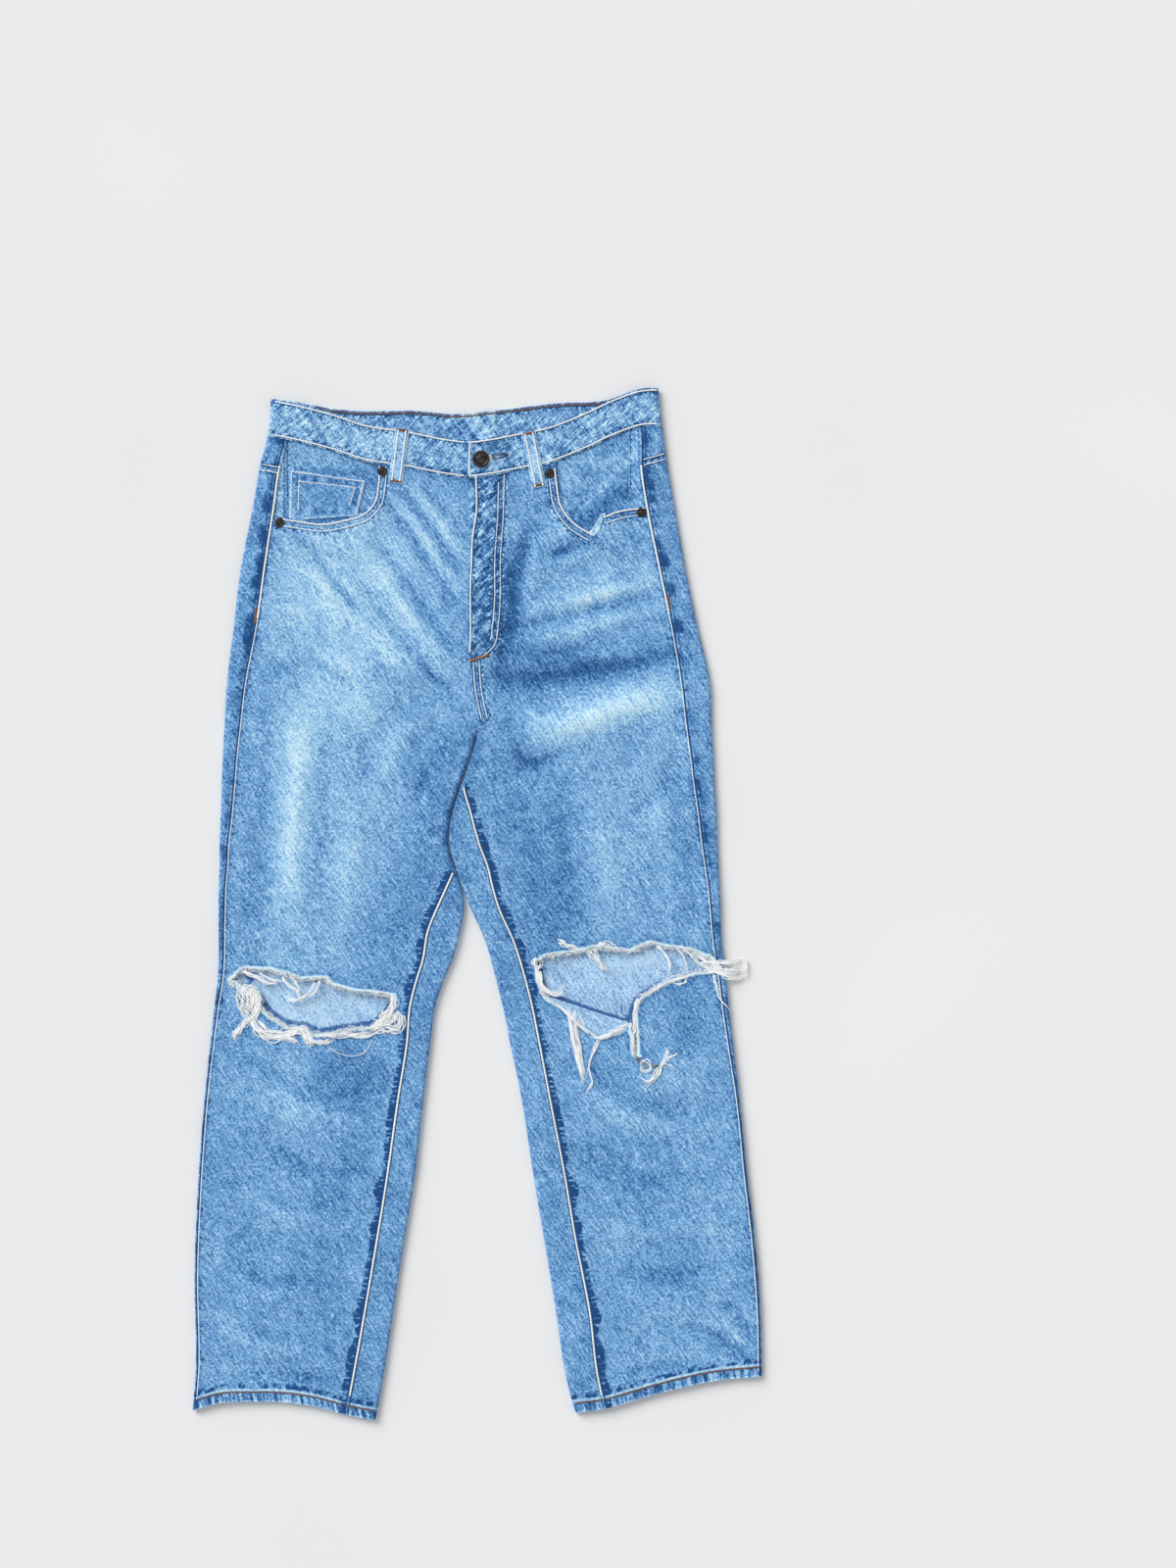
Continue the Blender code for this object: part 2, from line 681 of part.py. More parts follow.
def strip_place(strip, share):
    """A place along a strip of points, by its share of the length."""
    strip = np.array(strip, float)
    lengths = np.concatenate([[0], np.cumsum(np.hypot(*np.diff(strip, axis=0).T))])
    at = share * lengths[-1]
    return np.array([np.interp(at, lengths, strip[:, 0]), np.interp(at, lengths, strip[:, 1])])


def thread_level(leg, x, y):
    """The height at which loose threads lie: on the cloth, and lower past the leg's edge."""
    past = leg.side * (x - leg.outer(y))
    over = float(step(past, 4, 18))
    return (HEIGHT + float(top_rise(x, y)) + 1.1) * (1 - over) + 2.2 * over


def make_fray(name, leg, strip, bunches):
    """A narrow strip along a rip's edge with the threads that hang from it."""
    path = [(x, y, HEIGHT + float(top_rise(x, y)) - 0.5) for x, y in strip]
    vertices, faces = tube(path, 0.9, 4)
    backing = new_object(name, vertices, faces, "thread")
    vertices = []
    faces = []
    for start, end, count, reach_x, reach_y in bunches:
        for i in range(count):
            share = (i + 0.5) / count
            root = strip_place(strip, start + share * (end - start))
            length = 0.72 + 0.28 * math.sin(2.4 * i + start * 9)
            points = []
            for t in (0, 1 / math.hypot(reach_x, reach_y), 0.3, 0.65, 1):
                wave = 0.9 * math.sin(3.1 * t + 0.3 * i) * t
                x = root[0] + reach_x * t * length - wave * reach_y / 40
                y = root[1] + reach_y * t * length + wave * reach_x / 40
                if t == 0:
                    z = HEIGHT + float(top_rise(x, y)) - 0.4
                else:
                    z = thread_level(leg, x, y)
                points.append((x, y, z))
            more, sides = tube(points, THREAD_RADIUS, THREAD_SIDES)
            faces += [tuple(len(vertices) + index for index in side) for side in sides]
            vertices += more
    threads = new_object(name + "_threads", vertices, faces, "thread")
    threads.hide_render = True
    threads.display_type = "WIRE"
    modifier = backing.modifiers.new("threads", "BOOLEAN")
    modifier.operation = "UNION"
    modifier.solver = "EXACT"
    modifier.object = threads


def make_materials():
    made = {}
    for name, (colour, roughness, metallic) in FINISHES.items():
        material = bpy.data.materials.new(name)
        material.use_nodes = True
        shader = material.node_tree.nodes["Principled BSDF"]
        shader.inputs["Base Color"].default_value = colour
        shader.inputs["Roughness"].default_value = roughness
        shader.inputs["Metallic"].default_value = metallic
        made[name] = material
    return made


def centre_on_floor():
    """Moves the garment so that its box is centred over the origin and stands on z = 0."""
    shown = [thing for thing in garment.children if not thing.hide_render]
    corners = np.array([vertex.co for thing in shown for vertex in thing.data.vertices])
    centre = (corners.min(axis=0) + corners.max(axis=0)) / 2
    garment.location = (-centre[0], -centre[1], -corners[:, 2].min())


for old in list(bpy.data.objects):
    bpy.data.objects.remove(old)
garment = bpy.data.objects.new("ripped_jeans", None)
bpy.context.scene.collection.objects.link(garment)
materials = make_materials()
right = Leg(-1, RIGHT_LEG)
left = Leg(1, LEFT_LEG)

make_panels()
cut(bpy.data.objects["front_right"], "pocket_right_cut", POCKET_RIGHT_CUT)
cut(bpy.data.objects["front_right"], "rip_right_cut", RIP_RIGHT_CUT)
cut(bpy.data.objects["front_left"], "pocket_left_cut", POCKET_LEFT_CUT)
cut(bpy.data.objects["front_left"], "rip_left_cut", RIP_LEFT_CUT)
make_yokes()
wall("waistband", band_grid(0), band_grid(BAND_WALL))
make_pockets()
make_loops()
make_metal()
make_fray("fray_right", right, FRAY_RIGHT_STRIP, FRAY_RIGHT_BUNCHES)
make_fray("fray_left", left, FRAY_LEFT_STRIP, FRAY_LEFT_BUNCHES)
make_fray("fray_side", left, FRAY_SIDE_STRIP, FRAY_SIDE_BUNCHES)
centre_on_floor()
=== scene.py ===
"""The looks of the ripped jeans: finer cloth, creases, sewing, frayed threads and materials.

Lengths in the tables are millimetres in the garment's own drawing, with the waist along +Y
and the wearer's left at +X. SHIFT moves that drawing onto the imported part.
"""
import math

import bmesh
import bpy
import numpy as np
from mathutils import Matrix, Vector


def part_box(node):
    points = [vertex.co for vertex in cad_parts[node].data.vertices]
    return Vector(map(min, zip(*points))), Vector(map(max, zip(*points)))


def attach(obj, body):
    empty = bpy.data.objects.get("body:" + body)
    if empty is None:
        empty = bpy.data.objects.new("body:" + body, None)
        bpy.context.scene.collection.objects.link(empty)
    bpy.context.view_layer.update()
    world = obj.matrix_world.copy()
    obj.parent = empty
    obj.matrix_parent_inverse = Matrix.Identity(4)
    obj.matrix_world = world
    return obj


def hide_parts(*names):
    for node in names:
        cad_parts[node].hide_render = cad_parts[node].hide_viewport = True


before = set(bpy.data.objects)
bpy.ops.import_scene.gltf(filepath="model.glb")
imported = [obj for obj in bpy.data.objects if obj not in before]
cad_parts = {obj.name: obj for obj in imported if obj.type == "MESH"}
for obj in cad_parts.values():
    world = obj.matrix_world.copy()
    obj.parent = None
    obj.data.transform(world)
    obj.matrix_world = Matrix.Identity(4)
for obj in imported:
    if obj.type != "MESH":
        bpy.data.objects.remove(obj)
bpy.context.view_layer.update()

MM = 0.001

# Driving sizes, as in the part
WALL = 1.5
HEM_WALL = 2.3
BAND_WALL = 2.2
PATCH_WALL = 1.2
GAP = 0.3
SEAM_GAP = 0.14
BAND_GAP = 0.5
HEIGHT = 6.6
RADIUS = HEIGHT / 2
QUARTER = RADIUS * math.pi / 2
BAND_HEIGHT = 38.0
TOP_ROW = 464.0
YOKE_ROW = 436.0
HEM_ROW = -503.0
HEM_LINE = -490.0
CROTCH = 181.0
LEGS_APART = 150.0
LOOP_WALL = 1.5
FACING_TOP = 450.0
FACING_BOTTOM = 362.0
FLY_BOTTOM = 245.0
FLY_RAISE = WALL + GAP
UNDERLAP = 8.0
BAND_RAISE = BAND_WALL + GAP
BAND_UNDER_END = 18.0
BAND_OVER_END = -10.0

# Sewing: stitches' pitch and radii, the depth of the underside's stitches, and the lines'
# distances from the edges that they follow
STITCH_PITCH = 3.0
STITCH = 0.86
SEAM_STITCH = 1.05
FINE_STITCH = 0.5
UNDER_STITCH = 0.35
HEM_STITCH = 9.5
BAND_LINES = (2.4, BAND_HEIGHT - 2.4)
POCKET_LINES = (2.0, 8.5)
YOKE_TOP_LINES = (1.6, -4.0)
YOKE_UNDER_LINES = (-2.2, -8.6)

# By side, -1 for the wearer's right: the y above which the side seam's stitches are bold, the
# y of the side seam's bar tack, and the y above which the inseam lies in the fold, out of sight.
BOLD_SEAM = {-1: 281, 1: 284}
SIDE_TACK = {-1: 287, 1: 300}
SEAM_HIDDEN = {-1: 36, 1: 120}

CREASE_DEPTH = 1.5
# CREASE_TONE scales the creases' paleness, which is partly wear and partly painted light and shade.
CREASE_TONE = 1.9
BASE_TONE = 0.455
# How far torn edges wander, and their seed.
RAGGED = (0.8, 41)
# The slit at the left rip: its x from and to, y of its top, and y of its tail.
SLIT_X = (154, 196)
SLIT_TOP = -100
SLIT_TAIL = -151
# The distance that is stored where a seam or an edge is out of reach.
FAR = 900.0

# The camera, in millimetres of its sensor and in metres, and the light
SENSOR = 36
CAMERA_HEIGHT = 4.0
VIEW_HEIGHT = 1.56
VIEW_CENTRE = (0.1102, 0.1194)
KEY_STRENGTH = 2.45
SKY_STRENGTH = 0.54

# A row for each section of a leg: y, x of the outer edge, x of the inner edge, and how far
# the side seam and the inseam lie from those edges along the cloth.
RIGHT_LEG = (
    (504, -205, -3, 19, -3), (464, -208, -3, 19, -3), (431, -216, -3, 19.5, -3),
    (392, -223, -3, 21, -3), (333, -235, -8, 24, -3), (275, -242, -9, 23, -3),
    (216, -249, -4, 19, -3), (181, -251, 1, 17, -3), (144, -253, -8, 15, -3),
    (119, -254, -17, 14, -3), (85, -255, -27, 12, -3), (59, -256, -29, 10, -3),
    (38, -256, -23, 9, 0), (17, -257, -16, 8, 15), (-3, -257, -13, 7.5, 27),
    (-25, -257, -16, 7, 33), (-57, -257, -25, 6.5, 30), (-76, -258, -33, 6, 28),
    (-100, -261, -41, 5, 26), (-135, -265, -46, 4.5, 24), (-193, -271, -53, 4, 26),
    (-271, -277, -62, 4, 28), (-369, -281, -78, 4, 28), (-466, -280, -94, 4, 29),
    (-503, -283, -101, 4, 29),
)
LEFT_LEG = (
    (513, 180, -3, 23, -3), (464, 185, -3, 23, -3), (431, 189, -3, 26, -3),
    (392, 196, -3, 27, -3), (333, 207, -8, 26, -3), (275, 219, -9, 26, -3),
    (216, 232, -4, 29, -3), (181, 233, 1, 26, -3), (144, 235, -7, 23, -3),
    (119, 236, -16, 21, 3), (92, 238, -25, 19, 19), (59, 239, -28, 16, 31),
    (38, 240, -22, 14, 33), (17, 241, -15, 12, 31), (-3, 242, -7, 11, 29),
    (-37, 243, 8, 9, 29), (-76, 248, 19, 8, 30), (-100, 250, 25, 7, 30),
    (-135, 254, 32, 6, 30), (-193, 261, 44, 4, 29), (-271, 269, 56, 4, 32),
    (-330, 276, 66, 4, 32), (-408, 282, 79, 4, 34), (-466, 283, 88, 4, 32),
    (-503, 283, 97, 4, 31),
)
BAND_FRONT = (
    (-208, 465), (-178, 459), (-140, 449), (-113, 440), (-73, 434), (-26, 425),
    (-7, 423), (10, 425), (50, 433), (66, 436), (104, 450), (139, 466), (163, 474), (186, 475),
)
BAND_BACK = (
    (-208, 465), (-165, 458), (-131, 453), (-56, 452), (-21, 449), (21, 453),
    (81, 460), (123, 462), (163, 471), (186, 475),
)
YOKE_LINE = ((-216, 436), (-3, 392), (190, 447))
HEM_EDGE = (
    (-283, -503), (-254, -495), (-225, -494), (-187, -495), (-161, -499), (-134, -506), (-104, -512),
    (97, -505), (127, -501), (159, -492), (195, -482), (239, -473), (283, -469),
)

# The folds that the part also has: x and y of both ends, half width, height.
FOLDS = (
    (-178, 368, -95, 266, 16, 1.6), (-170, 244, -120, 214, 14, 1.4), (-24, 175, -45, 60, 16, 2.4),
    (-40, 235, -120, 250, 15, 1.3), (60, 170, 165, 207, 16, 2.2), (30, 225, 130, 245, 15, -1.0),
    (35, 150, 60, 130, 14, -1.0), (80, 300, 180, 330, 18, 1.2), (-230, 120, -70, 80, 22, 0.8),
    (110, 60, 215, 90, 22, 0.9), (-200, -180, -110, -230, 22, 1.2), (110, -210, 215, -170, 22, 1.2),
    (-230, -400, -130, -370, 20, 1.0), (150, -380, 245, -420, 20, 1.2),
)

# Smaller creases of the front: half width, height, how much paler, then the line's points. The paleness
# follows the height: partly wear, and partly painted light on the raised creases and painted shade in the
# sunken ones.
CREASES = (
    (4, -1.0, -0.16, (-180, 370), (-165, 353), (-143, 322), (-120, 292), (-95, 266)),
    (7, 0.8, 0.06, (-190, 350), (-160, 318), (-128, 270), (-112, 250)),
    (5, -0.8, -0.10, (-172, 247), (-150, 234), (-124, 215)),
    (6, 0.7, 0.08, (-165, 256), (-140, 243), (-112, 225)),
    (5, -0.8, -0.10, (-98, 408), (-66, 366), (-36, 318), (-18, 290)),
    (5, 0.8, 0.12, (-88, 412), (-57, 372), (-28, 326), (-13, 300)),
    (4, -0.8, -0.10, (-76, 412), (-46, 372), (-20, 332)),
    (5, 0.9, 0.12, (-64, 414), (-38, 380), (-14, 345)),
    (4, -0.7, -0.08, (-52, 414), (-30, 386), (-11, 362)),
    (5, -0.9, -0.10, (-112, 372), (-78, 330), (-44, 280), (-22, 248)),
    (6, 0.9, 0.12, (-118, 352), (-84, 310), (-50, 262), (-28, 230)),
    (5, -0.7, -0.09, (-120, 322), (-92, 285), (-60, 246), (-34, 216)),
    (7, 0.7, 0.08, (-128, 300), (-100, 262), (-66, 222)),
    (4, -0.6, -0.06, (-66, 250), (-40, 222), (-18, 205)),
    (5, -1.0, -0.13, (112, 362), (92, 353), (67, 344)),
    (8, 0.9, 0.06, (118, 350), (92, 340), (64, 332)),
    (9, -1.3, -0.16, (62, 388), (46, 352), (37, 325), (36, 292), (28, 255), (20, 224)),
    (8, 0.9, 0.05, (74, 378), (58, 345), (50, 312), (48, 282)),
    (6, 0.9, 0.10, (46, 290), (90, 300), (135, 312), (184, 324)),
    (5, -0.8, -0.09, (28, 273), (80, 284), (130, 296), (186, 310)),
    (5, 0.7, 0.07, (40, 262), (90, 270), (150, 286), (190, 296)),
    (5, -0.7, -0.06, (36, 244), (90, 252), (150, 266)),
    (9, -1.1, -0.16, (21, 222), (80, 226), (140, 236), (200, 250)),
    (14, 1.3, 0.12, (56, 164), (100, 178), (140, 194), (204, 214)),
    (6, -1.2, -0.16, (35, 168), (42, 150), (50, 140), (66, 142), (86, 152)),
    (8, 0.9, 0.08, (40, 196), (60, 182), (76, 172)),
    (7, -0.8, -0.07, (-30, 160), (-50, 130), (-62, 96)),
    (8, 0.8, 0.06, (-52, 190), (-80, 160), (-96, 122)),
    (8, -0.7, -0.06, (-76, 200), (-108, 158), (-118, 110)),
    (9, 0.8, 0.09, (-176, 200), (-180, 120), (-186, 40), (-182, -24)),
    (10, -0.6, -0.05, (-150, 150), (-156, 60), (-158, -30)),
    (9, 0.6, 0.05, (-118, 120), (-128, 30), (-134, -50)),
    (8, -0.6, -0.05, (-210, 160), (-214, 60), (-214, -40)),
    (7, -0.6, -0.05, (-222, 250), (-196, 236), (-168, 232)),
    (6, 0.5, 0.05, (-226, 300), (-196, 290), (-160, 292)),
    (10, 0.7, 0.06, (110, 120), (124, 60), (138, -10)),
    (9, -0.6, -0.05, (80, 110), (88, 40), (100, -20)),
    (9, 0.6, 0.05, (176, 130), (186, 50), (196, -20)),
    (7, -0.6, -0.06, (200, 150), (180, 110), (150, 84)),
    (6, -0.7, -0.08, (-190, -40), (-178, -48), (-166, -54)),
    (8, -0.7, -0.06, (-238, -150), (-190, -176), (-140, -190), (-96, -188)),
    (9, 0.7, 0.06, (-230, -176), (-186, -204), (-128, -222)),
    (8, -0.6, -0.06, (-222, -230), (-170, -262), (-110, -268)),
    (9, 0.6, 0.05, (-232, -290), (-190, -312), (-130, -320)),
    (8, -0.7, -0.06, (-250, -360), (-200, -376), (-140, -372)),
    (7, 0.7, 0.06, (-256, -420), (-216, -440), (-160, -446)),
    (6, -0.6, -0.06, (-222, -462), (-190, -470), (-150, -470)),
    (8, -0.7, -0.06, (96, -150), (130, -182), (176, -204), (226, -204)),
    (9, 0.7, 0.05, (106, -186), (150, -214), (206, -226)),
    (8, -0.6, -0.06, (116, -262), (160, -276), (222, -270)),
    (8, 0.6, 0.05, (118, -312), (170, -326), (240, -318)),
    (8, -0.7, -0.06, (130, -366), (180, -374), (246, -360)),
    (6, -0.9, -0.09, (276, -456), (256, -440), (226, -424), (196, -418)),
    (5, 0.8, 0.07, (276, -448), (252, -424), (224, -404)),
    (5, -0.8, -0.08, (278, -438), (262, -414), (244, -388)),
    (5, 0.7, 0.06, (270, -462), (238, -452), (200, -446)),
    (6, -0.6, -0.06, (150, -470), (190, -456), (224, -450)),
)

# Soft folds of the hidden back, which lies on the floor: half width, height, paler, points.
BACK_CREASES = (
    (9, 0.9, 0.08, (-200, 190), (-140, 170), (-70, 176), (-24, 196)),
    (7, 0.7, -0.07, (-190, 160), (-130, 146), (-60, 150)),
    (9, 0.9, 0.08, (26, 196), (80, 172), (150, 168), (206, 186)),
    (7, 0.7, -0.07, (36, 160), (100, 144), (180, 150)),
    (10, 0.8, 0.06, (-226, -30), (-160, -52), (-90, -40)),
    (8, 0.8, -0.07, (-232, -70), (-170, -90), (-96, -76)),
    (9, 0.8, 0.07, (60, -40), (130, -62), (214, -44)),
    (8, 0.8, -0.07, (70, -84), (140, -100), (220, -84)),
    (10, 0.7, 0.06, (-236, -260), (-170, -280), (-110, -268)),
    (9, 0.7, -0.06, (100, -250), (170, -272), (240, -256)),
    (9, 0.7, 0.06, (-240, -400), (-180, -420), (-130, -410)),
    (9, 0.7, -0.06, (130, -396), (190, -414), (250, -400)),
)

# Faded and dark areas: x, y, half length, half width, turn of the length, how much paler. The dark ones at
# (34, 300) and (-30, 130), which run along folds, are painted shade.
FADES_AND_SHADE = (
    (-130, 330, 92, 66, 100, 0.17), (-96, 372, 70, 26, 124, 0.07), (-170, 300, 60, 24, 60, 0.05),
    (130, 300, 60, 66, 10, 0.05), (110, 336, 40, 22, 20, 0.05), (-140, 150, 190, 62, 88, 0.13),
    (-176, 168, 46, 22, 80, 0.12), (-190, 40, 80, 17, 86, 0.13),
    (-116, 196, 40, 20, 130, 0.10), (-150, -10, 70, 40, 88, 0.05), (-70, 262, 60, 22, 128, 0.08),
    (-196, 300, 60, 18, 70, 0.05), (-56, 50, 120, 22, 84, -0.08), (-226, 20, 230, 10, 90, -0.05),
    (-90, -30, 70, 22, 80, -0.08), (-30, 130, 60, 12, 75, -0.14), (-186, -170, 120, 28, 84, 0.04),
    (-120, -176, 60, 34, 96, -0.09), (-150, -330, 130, 34, 86, -0.06), (-210, -330, 130, 22, 84, -0.02),
    (132, 194, 82, 19, 17, 0.15), (96, 234, 66, 15, 8, -0.10), (146, 66, 120, 46, 92, 0.09),
    (54, 40, 110, 22, 106, -0.09), (40, 150, 40, 22, 60, -0.07), (120, 306, 70, 26, 14, 0.05),
    (34, 300, 60, 12, 96, -0.14), (96, 344, 34, 16, 20, -0.07), (206, -6, 160, 16, 94, -0.04),
    (150, -230, 150, 46, 98, -0.03), (120, -320, 140, 30, 100, 0.02), (230, -330, 120, 24, 96, 0.03),
    (-20, 400, 40, 16, 100, 0.03), (-150, 420, 60, 26, 0, 0.02), (90, 20, 60, 26, 100, -0.04),
    (200, 170, 60, 26, 80, 0.06), (150, -82, 84, 32, 0, -0.10), (-150, -96, 66, 24, 0, -0.02),
    (-250, 380, 80, 20, 90, -0.04), (216, 330, 90, 16, 96, -0.05),
)

POCKET_RIGHT_CUT = (
    (-98, 455), (-99, 435), (-100, 413), (-103, 400), (-113, 389), (-131, 383), (-154, 379),
    (-178, 382), (-212, 387), (-225, 470),
)
POCKET_LEFT_CUT = (
    (77, 460), (79, 433), (81, 417), (85, 396), (96, 381), (116, 368), (125, 386), (138, 391),
    (172, 396), (200, 490),
)
RIP_RIGHT_CUT = (
    (-242, -75), (-233, -64), (-210, -65), (-190, -69), (-176, -75), (-150, -73), (-144, -81),
    (-123, -86), (-99, -89), (-82, -91), (-84, -101), (-95, -113), (-103, -121), (-127, -124),
    (-149, -129), (-162, -129), (-173, -122), (-188, -122), (-203, -112), (-216, -103),
    (-220, -91), (-230, -84),
)
RIP_LEFT_CUT = (
    (60, -58), (69, -51), (97, -48), (118, -43), (152, -47), (172, -39), (192, -43), (212, -46),
    (231, -53), (235, -60), (234, -67), (221, -67), (207, -70), (188, -77), (172, -86), (159, -95),
    (157, -112), (159, -150), (166, -156), (177, -160), (188, -159), (187, -162), (175, -163.5),
    (163, -160), (156, -152), (153, -118), (140, -128), (122, -132), (102, -118),
    (89, -105), (68, -92), (61, -76),
)
# Dark lines where the torn cloth meets the layer under it: x, y.
RIP_SHADOWS = (
    ((-226, -82), (-215, -94), (-204, -107), (-190, -117), (-172, -119), (-158, -126), (-128, -121),
     (-104, -118), (-92, -107), (-85, -97)),
    ((-232, -68), (-224, -76)),
    ((63, -62), (64, -76), (68, -88), (86, -95), (104, -101.5), (126, -109), (151, -117)),
    ((172, -84), (159, -93), (153.5, -104), (152, -116)),
)
# The cloth folded out of the left rip: its fold, and its torn edge.
FLAP_FOLD = ((66, -90), (84, -96), (104, -102.5), (126, -110), (150, -117))
FLAP_EDGE = ((68, -93), (88, -106.5), (102, -120), (121, -134), (146, -125))

BACK_POCKET_RIGHT = ((-40, 362), (-194, 384), (-197, 247), (-141, 221), (-74, 229))
BACK_POCKET_LEFT = ((22, 366), (177, 377), (170, 236), (106, 213), (44, 227))
COIN_POCKET = ((-186, 432), (-111, 421), (-119, 386), (-187, 381))
FRONT_LOOPS = {
    "belt_loop_front_right": (-74, 473, -81, 418),
    "belt_loop_front_left": (51, 470, 62, 414),
}
BACK_LOOPS = {
    "belt_loop_back_right": (-183, 499, -180, 441),
    "belt_loop_back_centre": (-4, 488, -3, 433),
    "belt_loop_back_left": (165, 508, 163, 452),
}
# The pressed fold of the left pocket's facing: x, y.
FACING_FOLD = ((96, 384), (124, 413), (153, 443))
# The turned-out edge of the left pocket's bag: its corners.
POCKET_LIP = ((111, 370), (122.5, 388.5), (128.5, 388), (116, 365))
BUTTON = (4, 442)
BUTTONHOLE = ((11, 443), (28, 446))
RIVETS = {
    "rivet_right_inner": (-94, 430),
    "rivet_right_outer": (-196, 379),
    "rivet_left_inner": (72, 428),
    "rivet_left_outer": (163, 389),
}

# Unfaded patches outside the side seams, where the pocket lies under them: y of both ends.
BLOTCHES = {
    -1: ((391, 406), (366, 375), (341, 346), (315, 325), (300, 306), (266, 284)),
    1: ((414, 424), (398, 404), (336, 345), (310, 319), (271, 280)),
}

# Sewing of the fly and the crotch: x, y.
FLY_STITCH = ((-1, 424), (-0.5, 391), (-4.5, 363), (-5.5, 339), (-6.5, 316), (-6.5, 269), (-7, 250))
FLY_CURVE = ((27, 427), (26, 387), (23, 339), (23, 304), (21, 278), (17, 257), (5, 246), (-7, 242))
CROTCH_STITCH = ((-6, 240), (-3.5, 210), (2, 184))

# Loose threads: how many, their spread, their height above the cloth, then their points.
THREADS_RIGHT = (
    (15, 7.0, 1.6, (-234, -80), (-230, -88), (-226, -98), (-224, -116)),
    (14, 6.0, 2.4, (-226, -82), (-219, -92), (-218, -104), (-224, -118)),
    (12, 6.0, 1.8, (-236, -82), (-233, -92), (-230, -106), (-225, -117)),
    (8, 5.0, 2.8, (-236, -84), (-226, -82), (-218, -88), (-216, -98)),
    (14, 4.0, 1.6, (-225, -112), (-232, -121), (-239, -128), (-241, -137)),
    (15, 4.0, 1.6, (-225, -114), (-219, -124), (-208, -131), (-196, -132), (-182, -131)),
    (6, 2.2, 2.4, (-218, -116), (-210, -124), (-196, -128), (-180, -124)),
    (14, 3.4, 1.8, (-200, -130), (-186, -127), (-174, -124), (-168, -130), (-164, -139)),
    (10, 3.4, 1.6, (-190, -128), (-184, -134), (-178, -139)),
    (9, 3.4, 1.6, (-172, -128), (-168, -134), (-163, -142)),
    (13, 3.0, 1.8, (-170, -130), (-162, -136), (-154, -138), (-144, -134)),
    (6, 2.0, 1.8, (-160, -131), (-148, -130), (-130, -130), (-112, -128), (-98, -124)),
    (5, 1.6, 2.2, (-132, -129), (-120, -132), (-106, -131), (-94, -122)),
    (12, 5.0, 2.0, (-106, -124), (-96, -118), (-88, -110), (-80, -112), (-76, -118)),
    (11, 4.6, 2.4, (-102, -126), (-92, -124), (-82, -124), (-76, -114), (-84, -106)),
    (11, 3.4, 2.0, (-84, -90), (-83, -100), (-88, -110), (-100, -122)),
    (9, 4.4, 2.6, (-78, -108), (-86, -118), (-96, -112), (-92, -104)),
    (5, 1.6, 2.2, (-196, -70), (-190, -78), (-178, -88), (-176, -94), (-186, -94), (-194, -90)),
    (4, 1.4, 2.0, (-186, -71), (-178, -80), (-176, -90)),
    (5, 1.4, 2.2, (-160, -74), (-164, -84), (-172, -92), (-182, -96), (-192, -94)),
    (3, 1.2, 2.0, (-156, -75), (-160, -86), (-168, -94)),
    (5, 1.4, 1.6, (-234, -66), (-220, -72), (-206, -79), (-194, -77)),
    (4, 1.2, 1.4, (-216, -68), (-204, -75), (-190, -76)),
    (1, 0.2, 1.4, (-151, -139), (-140, -147), (-126, -151), (-112, -147), (-104, -136), (-99, -128)),
    (4, 1.6, 1.6, (-242, -70), (-246, -75), (-243, -81), (-237, -80)),
)
THREADS_LEFT = (
    (8, 2.8, 1.8, (60, -60), (60, -74), (66, -84), (76, -90), (84, -87), (82, -80)),
    (7, 2.4, 2.2, (62, -66), (63, -78), (72, -88), (82, -86)),
    (5, 2.0, 1.6, (60, -52), (56, -58), (62, -63), (65, -55)),
    (11, 2.0, 1.6, (90, -103), (93, -122), (98, -146), (102, -164), (106, -183)),
    (11, 1.8, 2.0, (96, -104), (99, -126), (103, -150), (107, -178)),
    (5, 1.6, 1.6, (86, -98), (92, -116), (97, -140), (103, -166)),
    (12, 2.2, 2.6, (152, -118), (136, -127), (122, -133), (112, -130)),
    (8, 1.6, 2.6, (112, -130), (102, -121), (88, -107), (72, -95)),
    (3, 0.9, 1.6, (124, -134), (117, -146), (112, -157), (112, -169), (115, -176), (110, -185),
     (106, -196)),
    (3, 1.0, 1.4, (122, -132), (116, -144), (113, -154), (109, -170)),
    (3, 1.2, 1.6, (99, -107), (103, -112), (107, -122), (109, -128)),
    (5, 2.4, 1.8, (80, -36), (88, -40), (97, -44), (104, -52)),
    (5, 2.2, 2.0, (110, -46), (116, -52), (124, -60), (132, -66)),
    (4, 1.6, 1.8, (116, -44), (120, -54), (124, -62), (123, -69)),
    (5, 2.6, 2.0, (118, -41), (126, -38), (134, -41), (142, -48)),
    (4, 0.8, 2.4, (177, -39), (186, -48), (192, -58), (191, -68), (186, -76)),
    (3, 0.8, 2.4, (197, -43), (204, -50), (208, -60), (209, -72)),
    (4, 1.6, 2.6, (206, -44), (214, -52), (222, -60), (232, -66)),
    (3, 1.2, 1.8, (196, -78), (202, -80), (208, -76), (206, -71)),
    (6, 1.6, 1.6, (222, -66), (206, -73), (190, -77), (174, -86), (160, -96)),
    (4, 1.4, 1.6, (160, -92), (157, -104), (157, -118), (158, -132)),
    (3, 1.0, 1.4, (157, -122), (155, -136), (157, -151)),
    (4, 1.8, 1.4, (187, -140), (189, -148), (184, -158), (176, -170), (165, -184)),
    (3, 1.6, 1.6, (202, -148), (192, -152), (184, -160), (180, -172), (170, -180)),
    (3, 1.4, 1.8, (162, -158), (168, -155), (174, -160), (171, -166), (164, -164), (163, -157)),
    (2, 1.2, 1.6, (162, -171), (170, -176), (178, -172), (180, -164), (174, -160)),
    (2, 0.9, 1.4, (184, -158), (192, -160), (198, -164)),
    (5, 1.8, 1.4, (146, -121), (136, -127), (124, -132), (116, -128)),
)
